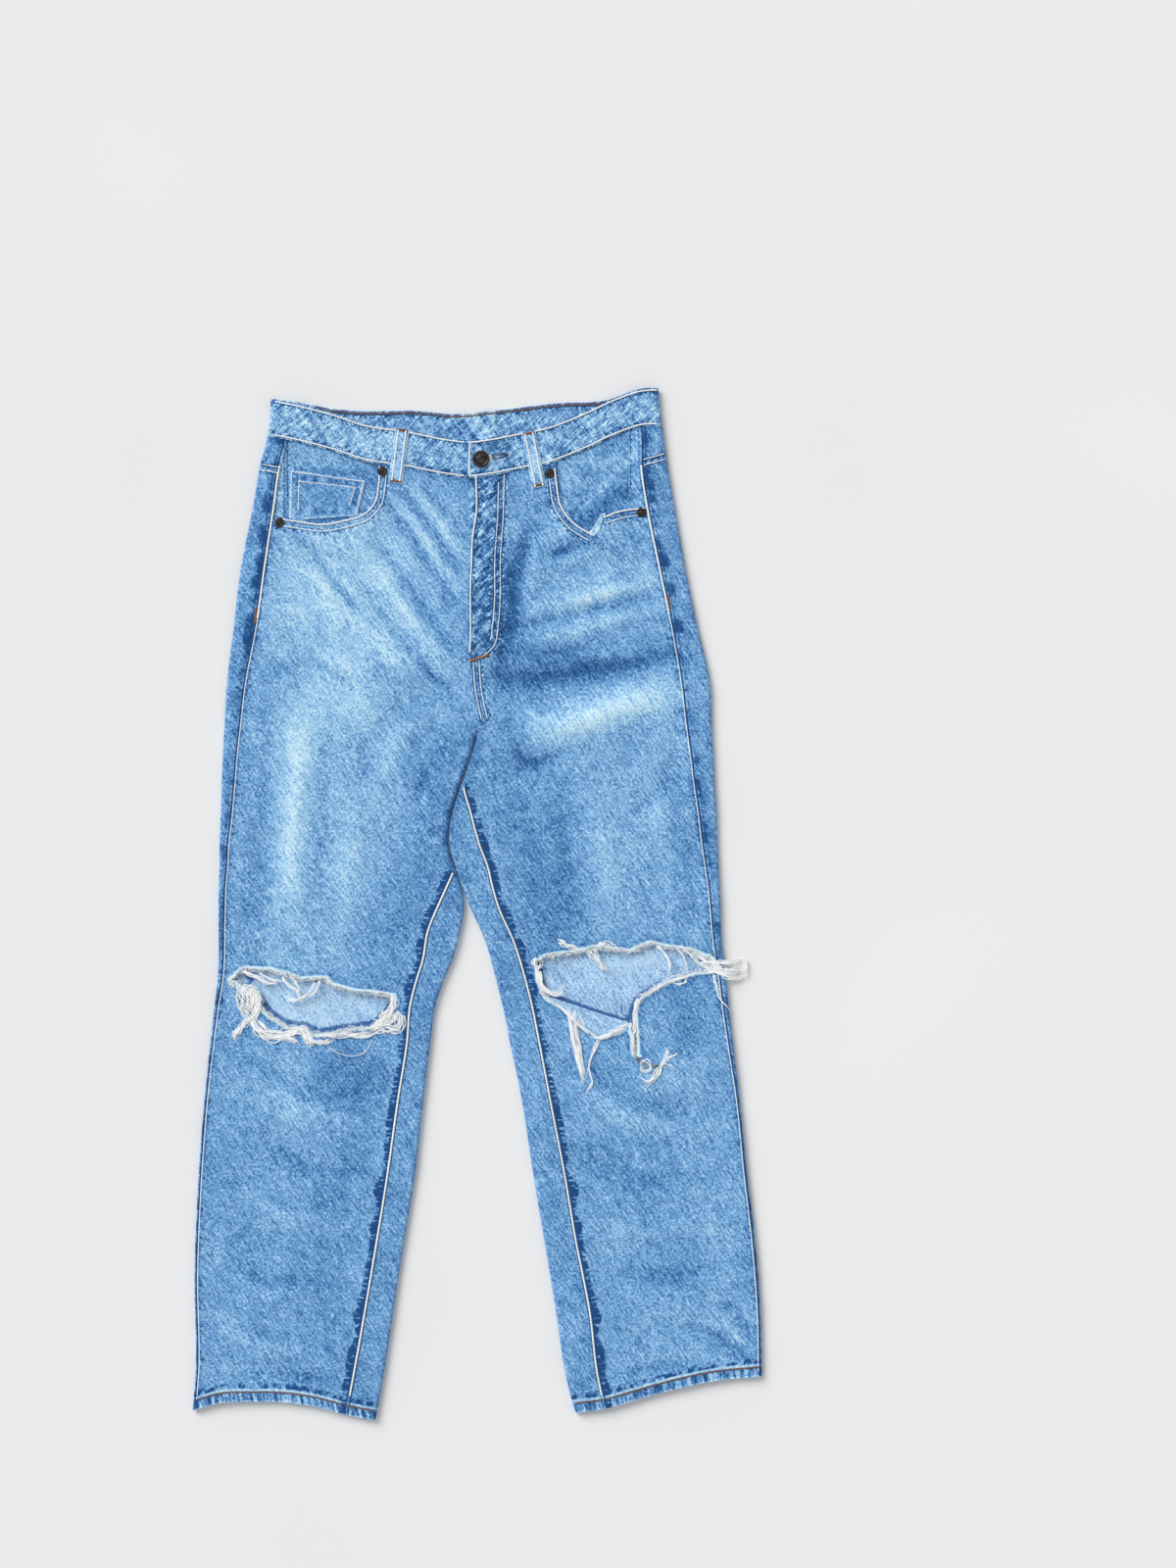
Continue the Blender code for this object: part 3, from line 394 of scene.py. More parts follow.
THREADS_SIDE = (
    (8, 3.2, 0.6, (214, -48), (228, -56), (246, -58), (264, -54)),
    (8, 4.0, 0.9, (218, -58), (234, -62), (250, -68), (266, -64)),
    (8, 3.0, 0.6, (224, -64), (240, -68), (256, -74), (268, -70)),
    (5, 3.0, 1.2, (262, -53), (268, -58), (266, -66), (268, -73)),
    (5, 4.5, 1.2, (232, -54), (242, -64), (254, -66), (262, -60)),
    (3, 0.9, 0.8, (236, -70), (239, -84), (242, -94), (250, -104), (253, -109)),
    (2, 0.8, 0.8, (234, -68), (237, -80), (240, -92)),
)

# Metal pieces as turned profiles: radius, height.
BUTTON_PROFILE = (
    (2.9, -0.5), (3.3, 0.8), (6.6, 0.95), (7.6, 1.15), (8.15, 1.6), (8.3, 2.1), (8.1, 2.6),
    (7.6, 2.95), (7.0, 3.0), (6.6, 2.8), (6.3, 2.45), (5.9, 2.3), (4.4, 2.3), (4.1, 2.5),
    (3.8, 2.8), (3.2, 2.95), (2.6, 2.8), (2.3, 2.6), (1.6, 2.9), (0.8, 3.1),
)
BEAD_PROFILE = ((0.42, -0.1), (0.40, 0.12), (0.25, 0.3))
RIVET_PROFILE = (
    (4.6, -0.3), (4.8, 0.1), (4.7, 0.45), (4.2, 0.8), (3.4, 0.95), (2.6, 0.85), (2.2, 0.7),
    (1.9, 0.8), (1.6, 1.3), (1.1, 1.6), (0.5, 1.7),
)

# Linear colours, dark to pale: place on the ramp, colour.
DENIM_COLOURS = (
    (0.0, (0.012, 0.065, 0.21, 1)), (0.2, (0.040, 0.150, 0.375, 1)), (0.46, (0.150, 0.355, 0.660, 1)),
    (0.72, (0.37, 0.63, 0.87, 1)), (1.0, (0.66, 0.87, 0.94, 1)),
)
LINING_COLOURS = (
    (0.0, (0.06, 0.16, 0.40, 1)), (0.5, (0.42, 0.66, 0.92, 1)), (1.0, (0.82, 0.93, 0.98, 1)),
)
METAL_COLOURS = (
    (0.35, (0.020, 0.016, 0.018, 1)), (0.62, (0.085, 0.070, 0.062, 1)), (0.8, (0.20, 0.17, 0.15, 1)),
)
FLOOR_COLOURS = ((0.3, (0.81, 0.81, 0.81, 1)), (0.7, (0.83, 0.83, 0.83, 1)))
CREAM = (1.0, 1.0, 0.95, 1)
BROWN = (0.22, 0.085, 0.035, 1)
WHITE = (0.97, 0.98, 0.98, 1)


def smooth(table, column, at):
    """A smooth curve through one column of a table, level beyond its ends."""
    rows = np.array(sorted(table), float)
    places = rows[:, 0]
    values = rows[:, column]
    slopes = np.gradient(values, places)
    at = np.clip(np.asarray(at, float), places[0], places[-1])
    row = np.clip(np.searchsorted(places, at) - 1, 0, len(places) - 2)
    span = places[row + 1] - places[row]
    t = (at - places[row]) / span
    start = (1 + 2 * t) * (1 - t) ** 2 * values[row] + t * (1 - t) ** 2 * span * slopes[row]
    end = t * t * (3 - 2 * t) * values[row + 1] + t * t * (t - 1) * span * slopes[row + 1]
    return start + end


def band_front_y(x):
    """y of the waistband's lower edge in front."""
    return smooth(BAND_FRONT, 1, x)


def band_back_y(x):
    """y of the waistband's lower edge behind."""
    return smooth(BAND_BACK, 1, x)


def yoke_y(x):
    return np.interp(x, *zip(*YOKE_LINE))


def hem_y(x):
    return smooth(HEM_EDGE, 1, x)


def above_hem(x, y):
    """The distance up from the hem, on the lower part of the legs."""
    return np.where(y < -300, y - hem_y(x), FAR)


def step(value, low, high):
    """0 at low, 1 at high and smooth between, whichever is larger."""
    t = np.clip((np.asarray(value, float) - low) / (high - low), 0, 1)
    return t * t * (3 - 2 * t)


def plateau(value, low, high, ramp):
    """1 between low and high, and 0 from a ramp's length outside them."""
    return step(value, low - ramp, low) * step(value, high + ramp, high)


def bell(value, width):
    """1 at 0, and softly down to 0 on both sides."""
    return np.exp(-((value / width) ** 2))


def nearer(a, b):
    """Whichever of two distances is the shorter, at each place."""
    return np.where(np.abs(a) < np.abs(b), a, b)


LATTICES = {}


def patchy(x, y, size_x, size_y, seed):
    """Soft uneven values from -1 to 1, in patches of that size."""
    if seed not in LATTICES:
        LATTICES[seed] = np.random.default_rng(seed).uniform(-1, 1, (101, 101))
    lattice = LATTICES[seed]
    u = np.asarray(x, float) / size_x
    v = np.asarray(y, float) / size_y
    i = np.floor(u).astype(int)
    j = np.floor(v).astype(int)
    fu = (u - i) ** 2 * (3 - 2 * (u - i))
    fv = (v - j) ** 2 * (3 - 2 * (v - j))
    low = lattice[i % 101, j % 101] * (1 - fu) + lattice[(i + 1) % 101, j % 101] * fu
    high = lattice[i % 101, (j + 1) % 101] * (1 - fu) + lattice[(i + 1) % 101, (j + 1) % 101] * fu
    return low * (1 - fv) + high * fv


def lengths_along(line):
    """The distance along a line of points to each of them."""
    return np.concatenate([[0], np.cumsum(np.hypot(*np.diff(line, axis=0).T))])


def closed(outline):
    """An outline's points, with the first one again at the end."""
    line = np.array(outline, float)
    return np.concatenate([line, line[:1]])


def from_segment(start, end, x, y):
    """How far places are from a straight piece of line, how far along it, and on which side."""
    length = np.hypot(*(end - start))
    dx, dy = (end - start) / length
    along = np.clip((x - start[0]) * dx + (y - start[1]) * dy, 0, length)
    away = np.hypot(x - start[0] - along * dx, y - start[1] - along * dy)
    side = np.where(dx * (y - start[1]) - dy * (x - start[0]) < 0, -1, 1)
    return away, along, side


def near_line(points, x, y):
    """How far places are from a line of points, and where along it they are nearest, 0 to 1."""
    line = np.array(points, float)
    before = lengths_along(line)
    best = np.full(np.shape(x), 1e9)
    share = np.zeros(np.shape(x))
    for start, end, passed in zip(line, line[1:], before):
        away, along, _ = from_segment(start, end, x, y)
        share = np.where(away < best, (passed + along) / before[-1], share)
        best = np.minimum(away, best)
    return best, share


def beside_lines(lines, x, y):
    """The distance to the nearest of several lines, negative on a line's right side."""
    best = np.full(np.shape(x), FAR)
    for points in lines:
        line = np.array(points, float)
        for start, end in zip(line, line[1:]):
            away, _, side = from_segment(start, end, x, y)
            best = np.where(away < np.abs(best), away * side, best)
    return best


def creased(table, column, x, y):
    """The sum of a table's soft creases: column 1 is their height, and 2 how much paler."""
    x = np.asarray(x, float)
    y = np.asarray(y, float)
    total = np.zeros(x.shape)
    for crease in table:
        line = np.array(crease[3:], float)
        low = line.min(axis=0) - 2.6 * crease[0]
        high = line.max(axis=0) + 2.6 * crease[0]
        close = (x > low[0]) & (x < high[0]) & (y > low[1]) & (y < high[1])
        if close.any():
            away, share = near_line(line, x[close], y[close])
            taper = 0.25 + 0.75 * np.sin(math.pi * share)
            total[close] += crease[column] * taper * bell(away, crease[0])
    return total


def ridge(x, y, fold):
    """The height of one large fold at a place."""
    x0, y0, x1, y1, half_width, height = fold
    away, along = near_line(((x0, y0), (x1, y1)), x, y)
    return height * bell(away, half_width) * (0.45 + 0.55 * np.sin(math.pi * along))


def base_rise(x, y):
    """The rise of the part's own upper layer."""
    rise = 1.8 * plateau(x, -200, -108, 22) * plateau(y, 362, 500, 26)
    rise = rise + 1.0 * plateau(x, 84, 172, 22) * plateau(y, 362, 500, 26)
    for fold in FOLDS:
        rise = rise + ridge(x, y, fold)
    return rise


def creased_rise(x, y):
    """The rise of the upper layer with its smaller creases."""
    return base_rise(x, y) + CREASE_DEPTH * creased(CREASES, 1, x, y)


def top_rise(x, y):
    """How far the upper layer stands above HEIGHT, with its creases and an uneven surface."""
    uneven = 0.35 * patchy(x, y, 34, 26, 3) + 0.16 * patchy(x + 0.6 * y, y, 11, 15, 5)
    return creased_rise(x, y) + uneven


def floor_rise(x, y):
    """How far the lower layer is lifted off the floor."""
    rise = (PATCH_WALL + GAP) * plateau(y, 200, 404, 24) * np.ones(len(x))
    for x0, y0, x1, y1 in BACK_LOOPS.values():
        centre = (x0 + x1) / 2
        loop = plateau(x, centre - 18, centre + 18, 10) * plateau(y, min(y0, y1) - 16, 520, 14)
        rise = np.maximum(rise, (LOOP_WALL + GAP) * loop)
    return rise + np.clip(creased(BACK_CREASES, 1, x, y), 0, 2)


def row_y(x, y, top_edge, top_row):
    """Where a row lies at x: the rows bend to follow the waistband or yoke, and the hem."""
    at_top = (top_edge(x) - BAND_GAP - top_row) * step(y, 300, top_row)
    at_hem = (hem_y(x) - HEM_ROW) * step(y, -330, HEM_ROW)
    return y + at_top + at_hem


def fold_points(run, bend, widest, tip, inward, depth):
    """x, rise and cosine of the turn along a fold, by distance from where it starts to bend."""
    turn = np.clip(run / bend, 0, math.pi)
    beyond = np.maximum(run - bend * math.pi, 0)
    reach = (bend - depth) * np.sin(turn) + np.minimum(run, 0) - beyond
    x = tip + inward * (widest - reach)
    return x, bend - (bend - depth) * np.cos(turn), np.cos(turn)


def joined(first, last, depth, count):
    """x, rise and turn of a whole row: one fold, count flat places, and the other fold."""
    x0, rise0, turn0 = first
    x2, rise2, turn2 = last
    x1 = np.linspace(x0[-1], x2[0], count + 2)[1:-1]
    x = np.concatenate([x0, x1, x2])
    rise = np.concatenate([rise0, np.full(count, depth), rise2])
    return x, rise, np.concatenate([turn0, np.ones(count), turn2])


class Leg:
    """One side of the jeans: side is -1 for the wearer's right, and 1 for the left."""

    def __init__(self, name, side, table):
        self.name = name
        self.side = side
        self.table = table

    def outer(self, y):
        return smooth(self.table, 1, y)

    def inner_edge(self, y):
        return smooth(self.table, 2, y)

    def side_seam(self, y):
        return smooth(self.table, 3, y)

    def inseam(self, y):
        return smooth(self.table, 4, y)

    def seam_x(self, y):
        """x of the side seam, seen from above."""
        return self.outer(y) - self.side * (RADIUS + self.side_seam(y) - QUARTER)

    def inseam_x(self, y):
        """x of the inseam, or of the centre line above the crotch, seen from above."""
        return self.inner_edge(y) + self.side * np.maximum(self.inseam(y) - QUARTER + RADIUS, 0)

    def roll(self, y):
        """0 where the inner edge is flat at the centre line, 1 where it is a full fold."""
        return max(0.02, float(step(y, CROTCH, LEGS_APART)))

    def inner(self, y, upper):
        """x where the panel ends inside: the right front goes on under the fly's lap."""
        tip = self.inner_edge(y) + self.side * SEAM_GAP / 2
        if upper and self.side < 0:
            tip = tip + UNDERLAP * step(y, FLY_BOTTOM + 5, FLY_BOTTOM + 40)
        return tip

    def upper_row(self, y, side_y, depth, count):
        """x, z and lift shares of the front panel's columns, from side seam to inseam."""
        side = self.side_seam(side_y) + SEAM_GAP / 2 + np.array([0, 0.7, 1.5, 2.5, 3.6, 5.2, 7])
        first = fold_points(QUARTER - side, RADIUS, RADIUS, self.outer(side_y), -self.side, depth)
        roll = self.roll(y)
        bend = RADIUS / roll
        end = self.inseam(y) + SEAM_GAP / 2 + 1.5 * (1 - roll)
        inner = end + np.array([14, 11.5, 9.5, 8.4, 7, 5.5, 4, 2.6, 1.5, 0.7, 0])
        last_turn = min((QUARTER - end) / bend, math.pi / 2)
        widest = RADIUS if roll >= 1 else bend * math.sin(last_turn)
        last = fold_points(QUARTER - inner, bend, widest, self.inner(y, True), self.side, depth)
        x, rise, turn = joined(first, last, depth, count)
        return x, HEIGHT - rise, np.clip(turn, 0, 1), np.zeros(len(x))

    def lower_row(self, y, side_y, depth, count):
        """The same for the back panel, from the side seam under the leg to the inseam."""
        side = self.side_seam(side_y) - SEAM_GAP / 2
        flat = min(QUARTER, side - 0.8)
        arcs = np.concatenate([np.linspace(side, flat, 9)[:-1], np.linspace(flat, -QUARTER, 9)])
        first = fold_points(QUARTER + arcs, RADIUS, RADIUS, self.outer(side_y), -self.side, depth)
        roll = self.roll(y)
        end = self.inseam(y) - SEAM_GAP / 2
        flat = min(QUARTER, end - 0.8)
        arcs = np.concatenate([np.linspace(-QUARTER, flat, 9), np.linspace(flat, end, 9)[1:]])
        widest = (QUARTER + end) * (1 - roll) + RADIUS * roll
        tip = self.inner(y, False)
        last = fold_points(QUARTER + arcs, RADIUS / roll, widest, tip, self.side, depth)
        x, rise, turn = joined(first, last, depth, count)
        return x, rise, np.clip(-turn, 0, 1), np.clip(turn, 0, 1)

    def level(self, x, y):
        """The height of the upper layer, where it rolls down at the leg's two edges as well."""
        out = np.clip(self.side * (self.outer(y) - x), 0, RADIUS)
        inside = np.clip(self.side * (x - self.inner_edge(y)), 0, RADIUS)
        inside = np.where(np.asarray(y) < LEGS_APART, inside, RADIUS)
        drop = 2 * RADIUS
        for reach in (out, inside):
            drop = drop - np.sqrt(RADIUS**2 - (RADIUS - reach) ** 2)
        return HEIGHT - drop + top_rise(x, y) * (1 - drop / RADIUS)


def fly_pull(x, y):
    """The fly's uneven diagonal pulls, from -1 to 1."""
    return patchy(x + 0.5 * y, y - 0.4 * x, 6.5, 8, 14)


def fly_ripple(x, y):
    return 0.55 * fly_pull(x, y) * plateau(x, -3, 21, 4) * plateau(y, 250, 424, 5)


def fly_lap(x, row):
    """How far the wearer's left front is raised where it laps over the right one."""
    edge = smooth(LEFT_LEG, 2, row)
    return FLY_RAISE * step(x, edge + 36, edge + 15) * step(row, FLY_BOTTOM - 24, FLY_BOTTOM)


def sewn_rise(leg, x, y, upper):
    """Felled seams, puckers beside the seams, the fly's ripples and the hem's roping."""
    side = np.abs(x - leg.seam_x(y))
    inside = np.abs(x - leg.inseam_x(y))
    below = above_hem(x, y)
    rise = 0.5 * patchy(side * 0.3, y, 4, 7, 11) * bell(side, 7)
    legs = step(y, CROTCH + 6, CROTCH - 20)
    if upper:
        rise = rise + 0.55 * plateau(inside, 1.4, 8.2, 1.0) * legs
        rise = rise + 0.32 * patchy(inside * 0.5, y, 4, 4.5, 12) * plateau(inside, 1.5, 9, 3) * legs
        rise = rise - 0.35 * bell(inside, 1.1) * legs
        rise = rise + fly_ripple(x, y)
    else:
        rise = rise + 0.45 * plateau(side, 1.2, 9, 1.5)
    rise = rise - 0.3 * bell(side, 1.0)
    roping = 0.45 * patchy(x + 0.9 * below, below, 4.5, 12, 15)
    return rise + step(below, 17, 14) * (0.35 + roping)


def panel_grid(leg, upper, rows, count, top_edge, top_row, inner):
    """The points of a panel's outer face, or of its inner face, by rows of count + folds."""
    grid = []
    for row in rows:
        make = leg.upper_row if upper else leg.lower_row
        depth = (HEM_WALL if row < HEM_LINE else WALL) if inner else 0
        side_y = float(row_y(leg.seam_x(row), row, top_edge, top_row))
        x, z, on_top, on_floor = make(row, side_y, depth, count)
        y = row_y(x, row, top_edge, top_row)
        sewn = sewn_rise(leg, x, y, upper)
        z = z + on_top * (top_rise(x, y) + sewn)
        z = z + on_floor * (floor_rise(x, y) + 0.3 * np.clip(sewn, 0, 1))
        if upper and leg.side > 0:
            z = z + fly_lap(x, row)
        grid.append(np.column_stack([x, y, z]))
    return np.array(grid)


def new_object(name, vertices, faces, material):
    """Makes an object of points in millimetres."""
    mesh = bpy.data.meshes.new(name)
    places = np.asarray(vertices, float) * MM + SHIFT
    mesh.from_pydata(places.tolist(), [], faces)
    mesh.materials.append(material)
    mesh.shade_smooth()
    thing = bpy.data.objects.new(name, mesh)
    bpy.context.scene.collection.objects.link(thing)
    return thing


def face_outward(thing, merge=False):
    """Turns all faces outward; merge first joins the points that lie on one another."""
    shape = bmesh.new()
    shape.from_mesh(thing.data)
    if merge:
        bmesh.ops.remove_doubles(shape, verts=shape.verts, dist=1e-6)
    bmesh.ops.recalc_face_normals(shape, faces=shape.faces)
    shape.to_mesh(thing.data)
    shape.free()
    thing.data.set_sharp_from_angle(angle=math.radians(50))


def belt(start, count, reach):
    """Faces that join a ring of count points to the ring that is reach points further on."""
    return [
        (start + k, start + (k + 1) % count, start + (k + 1) % count + reach, start + k + reach)
        for k in range(count)
    ]


def wall(name, outer, inner):
    """A closed wall of denim between two grids of points of the same size."""
    index = np.arange(outer[..., 0].size).reshape(outer.shape[:2])
    under = index.size
    corners = (index[:-1, :-1], index[:-1, 1:], index[1:, 1:], index[1:, :-1])
    over = np.stack(corners, axis=-1).reshape(-1, 4)
    faces = over.tolist() + (over[:, ::-1] + under).tolist()
    border = np.concatenate([index[0], index[1:, -1], index[-1, -2::-1], index[-2:0:-1, 0]]).tolist()
    faces += [(q, p, under + p, under + q) for p, q in zip(border, border[1:] + border[:1])]
    vertices = np.concatenate([outer.reshape(-1, 3), inner.reshape(-1, 3)])
    thing = new_object(name, vertices, faces, denim)
    face_outward(thing)
    return thing


def ragged(outline, amount, seed):
    """An outline with a torn edge: short steps, each a little off the line."""
    points = []
    ring = closed(outline)
    for start, end in zip(ring, ring[1:]):
        count = max(1, round(math.dist(start, end) / 1.8))
        points += [start + k / count * (end - start) for k in range(count)]
    points = np.array(points)
    ahead = np.roll(points, -1, axis=0) - np.roll(points, 1, axis=0)
    ahead = ahead / np.hypot(ahead[:, 0], ahead[:, 1])[:, None]
    away = np.random.default_rng(seed).uniform(-1, 1, len(points)) * amount
    away = away + 0.8 * amount * patchy(np.arange(len(points)), 0, 4, 1, seed)
    return points + np.column_stack([-ahead[:, 1] * away, ahead[:, 0] * away])


def cut(thing, outline):
    """Cuts an outline through a wall."""
    count = len(outline)
    vertices = [(x, y, -2) for x, y in outline] + [(x, y, 30) for x, y in outline]
    ends = [tuple(range(count)), tuple(range(2 * count - 1, count - 1, -1))]
    cutter = new_object("cutter", vertices, ends + belt(0, count, count), denim)
    face_outward(cutter)
    modifier = thing.modifiers.new("cut", "BOOLEAN")
    modifier.operation = "DIFFERENCE"
    modifier.solver = "EXACT"
    modifier.object = cutter
    bpy.context.view_layer.update()
    graph = bpy.context.evaluated_depsgraph_get()
    made = bpy.data.meshes.new_from_object(thing.evaluated_get(graph), depsgraph=graph)
    old = thing.data
    thing.modifiers.clear()
    thing.data = made
    bpy.data.meshes.remove(old)
    bpy.data.objects.remove(cutter)


def points_of(thing):
    """The vertices in millimetres, and their normals."""
    count = len(thing.data.vertices)
    places = np.empty(count * 3, np.float32)
    normals = np.empty(count * 3, np.float32)
    thing.data.vertices.foreach_get("co", places)
    thing.data.vertex_normals.foreach_get("vector", normals)
    return (places.reshape(-1, 3) - SHIFT) / MM, normals.reshape(-1, 3)


def plan_of(thing):
    """x and y of the vertices, in millimetres."""
    return points_of(thing)[0].T[:2]


def curl_edge(thing, outline):
    """Lifts the cloth beside a torn edge unevenly."""
    places, _ = points_of(thing)
    x, y = places[:, 0], places[:, 1]
    near = (x > outline[:, 0].min() - 12) & (x < outline[:, 0].max() + 12)
    near &= (y > outline[:, 1].min() - 12) & (y < outline[:, 1].max() + 12)
    away, share = near_line(closed(outline), x[near], y[near])
    places[near, 2] += 1.1 * bell(away, 3.2) * (0.55 + 0.45 * patchy(share * 100, 0, 4, 1, 31))
    flat = (places * MM + SHIFT).astype(np.float32)
    thing.data.vertices.foreach_set("co", flat.ravel())
    thing.data.update()


def fades_and_shade(x, y):
    """The sum of the faded and dark areas, some of the dark ones painted shade beside folds."""
    total = np.zeros(np.shape(x))
    for cx, cy, length, width, turn, amount in FADES_AND_SHADE:
        c = math.cos(math.radians(turn))
        s = math.sin(math.radians(turn))
        along = ((x - cx) * c + (y - cy) * s) / length
        across = (-(x - cx) * s + (y - cy) * c) / width
        total = total + amount * np.exp(-(along**2) - across**2)
    return total


def paint(thing, tone, inside=0.0, mottle=0.0, **distances):
    """Stores what the denim's material reads: tone, and distances in millimetres."""
    count = len(thing.data.vertices)
    seams = [distances.get(key, FAR) for key in ("side", "inseam", "along")]
    edges = [distances.get(key, FAR) for key in ("tear", "hem", "sewn")]
    for name, values in (("tone", (tone, inside, mottle)), ("seams", seams), ("edges", edges)):
        columns = np.stack([np.broadcast_to(value, (count,)) for value in values], axis=1)
        attribute = thing.data.attributes.new(name, "FLOAT_VECTOR", "POINT")
        attribute.data.foreach_set("vector", np.ascontiguousarray(columns, np.float32).ravel())


def back_tone(leg, x, y, side, on_top):
    """The back panel's creases and unfaded patches, as changes of tone."""
    tone = creased(BACK_CREASES, 2, x, y) * ~on_top - 0.04 * on_top
    tone = tone + 0.06 * bell(yoke_y(x) - y - 5, 4)
    for low, high in BLOTCHES[leg.side]:
        blotch = plateau(y + 2.0 * patchy(x, y, 3, 3, 27), low, high, 2.5)
        tone = tone - 0.34 * blotch * plateau(side, 0.5, 8, 3.5) * on_top
    return tone


def torn_distance(x, y, facing_in, outline, upper):
    """The distance to the torn edge, or on the layer under it to the edge's dark line."""
    tear = np.full(len(x), FAR)
    close = (y < 0) & (y > -200)
    if outline is not None:
        tear[close] = near_line(closed(outline), x[close], y[close])[0]
    elif not upper:
        close = close & facing_in
        tear[close] = beside_lines(RIP_SHADOWS, x[close], y[close])
    return tear + 3 * ((x > SLIT_X[0]) & (x < SLIT_X[1]) & (y < SLIT_TAIL))


def paint_panel(thing, leg, upper, outline=None):
    """The tone of a front or back panel, and its distances to seams, hem and torn edge."""
    places, normals = points_of(thing)
    x, y, z = places.T
    up = normals[:, 2] > 0
    high = z > RADIUS
    on_top = high if upper else high & up
    inside = ~up if upper else (up != high)
    side = np.where(on_top, np.abs(x - leg.seam_x(y)), leg.side_seam(y) + np.abs(leg.outer(y) - x) + 3)
    inseam = np.where(on_top, np.abs(x - leg.inseam_x(y)), leg.inseam(y) + 20)
    hidden = SEAM_HIDDEN[leg.side]
    inseam = np.where(y > hidden, FAR, inseam) * (1 if upper else -1)

    tone = BASE_TONE + fades_and_shade(x, y) + 0.05 * patchy(x, y, 30, 42, 21)
    tone = tone + 0.035 * patchy(x + 0.5 * y, y, 9, 16, 22)
    # Painted shade beside the fold at the legs' inner edges, below the crotch.
    painted_fold_shade = bell(x - leg.inner_edge(y), 7) * plateau(y, hidden - 20, CROTCH - 10, 16)
    tone = tone - 0.15 * painted_fold_shade
    patches = np.clip(patchy(side * 0.2, y, 4, 11, 24 + leg.side) - 0.05, 0, 1)
    patches = patches * (1 + 0.9 * step(y, 230, 262)) * (0.2 if upper else 1)
    tone = tone - 0.42 * patches * np.exp(-((side / 9) ** 4))
    # Darker towards the waistband: painted shade under the band's lower edge.
    below_band = np.where(high, band_front_y(x), band_back_y(x)) - y
    tone = tone - 0.13 * step(below_band, 8, 0.5)
    if upper:
        fly = plateau(x, -4, 24, 4) * plateau(y, 246, 428, 5)
        # Creases: paler where raised and darker where sunk, partly wear and partly painted light and shade.
        tone = tone + CREASE_TONE * creased(CREASES, 2, x, y) + fly * (0.24 * fly_pull(x, y) - 0.20)
        # The large folds are paler where raised and darker where sunk: partly wear, partly painted light and
        # shade.
        for fold in FOLDS:
            tone = tone + 0.03 * ridge(x, y, fold)
        above = y > 170
        sewn = np.full(len(x), FAR)
        sewn[above] = beside_lines(front_lines(leg), x[above], y[above])
    else:
        fly = 0.0
        tone = tone + back_tone(leg, x, y, side, on_top)
        lines = [np.where(on_top, *pair) for pair in zip(YOKE_TOP_LINES, YOKE_UNDER_LINES)]
        sewn = nearer(*(y - yoke_y(x) - line for line in lines))
    tear = torn_distance(x, y, inside & ~high, outline, upper)
    paint(
        thing, np.clip(tone, 0, 1), inside, 0.6 * fly,
        side=side, inseam=inseam, along=y, tear=tear, hem=above_hem(x, y), sewn=sewn,
    )


def adopt(thing, node):
    """A cloth piece, attached to the root; it replaces a node if one is named."""
    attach(thing, "root")
    if node:
        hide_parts(node)


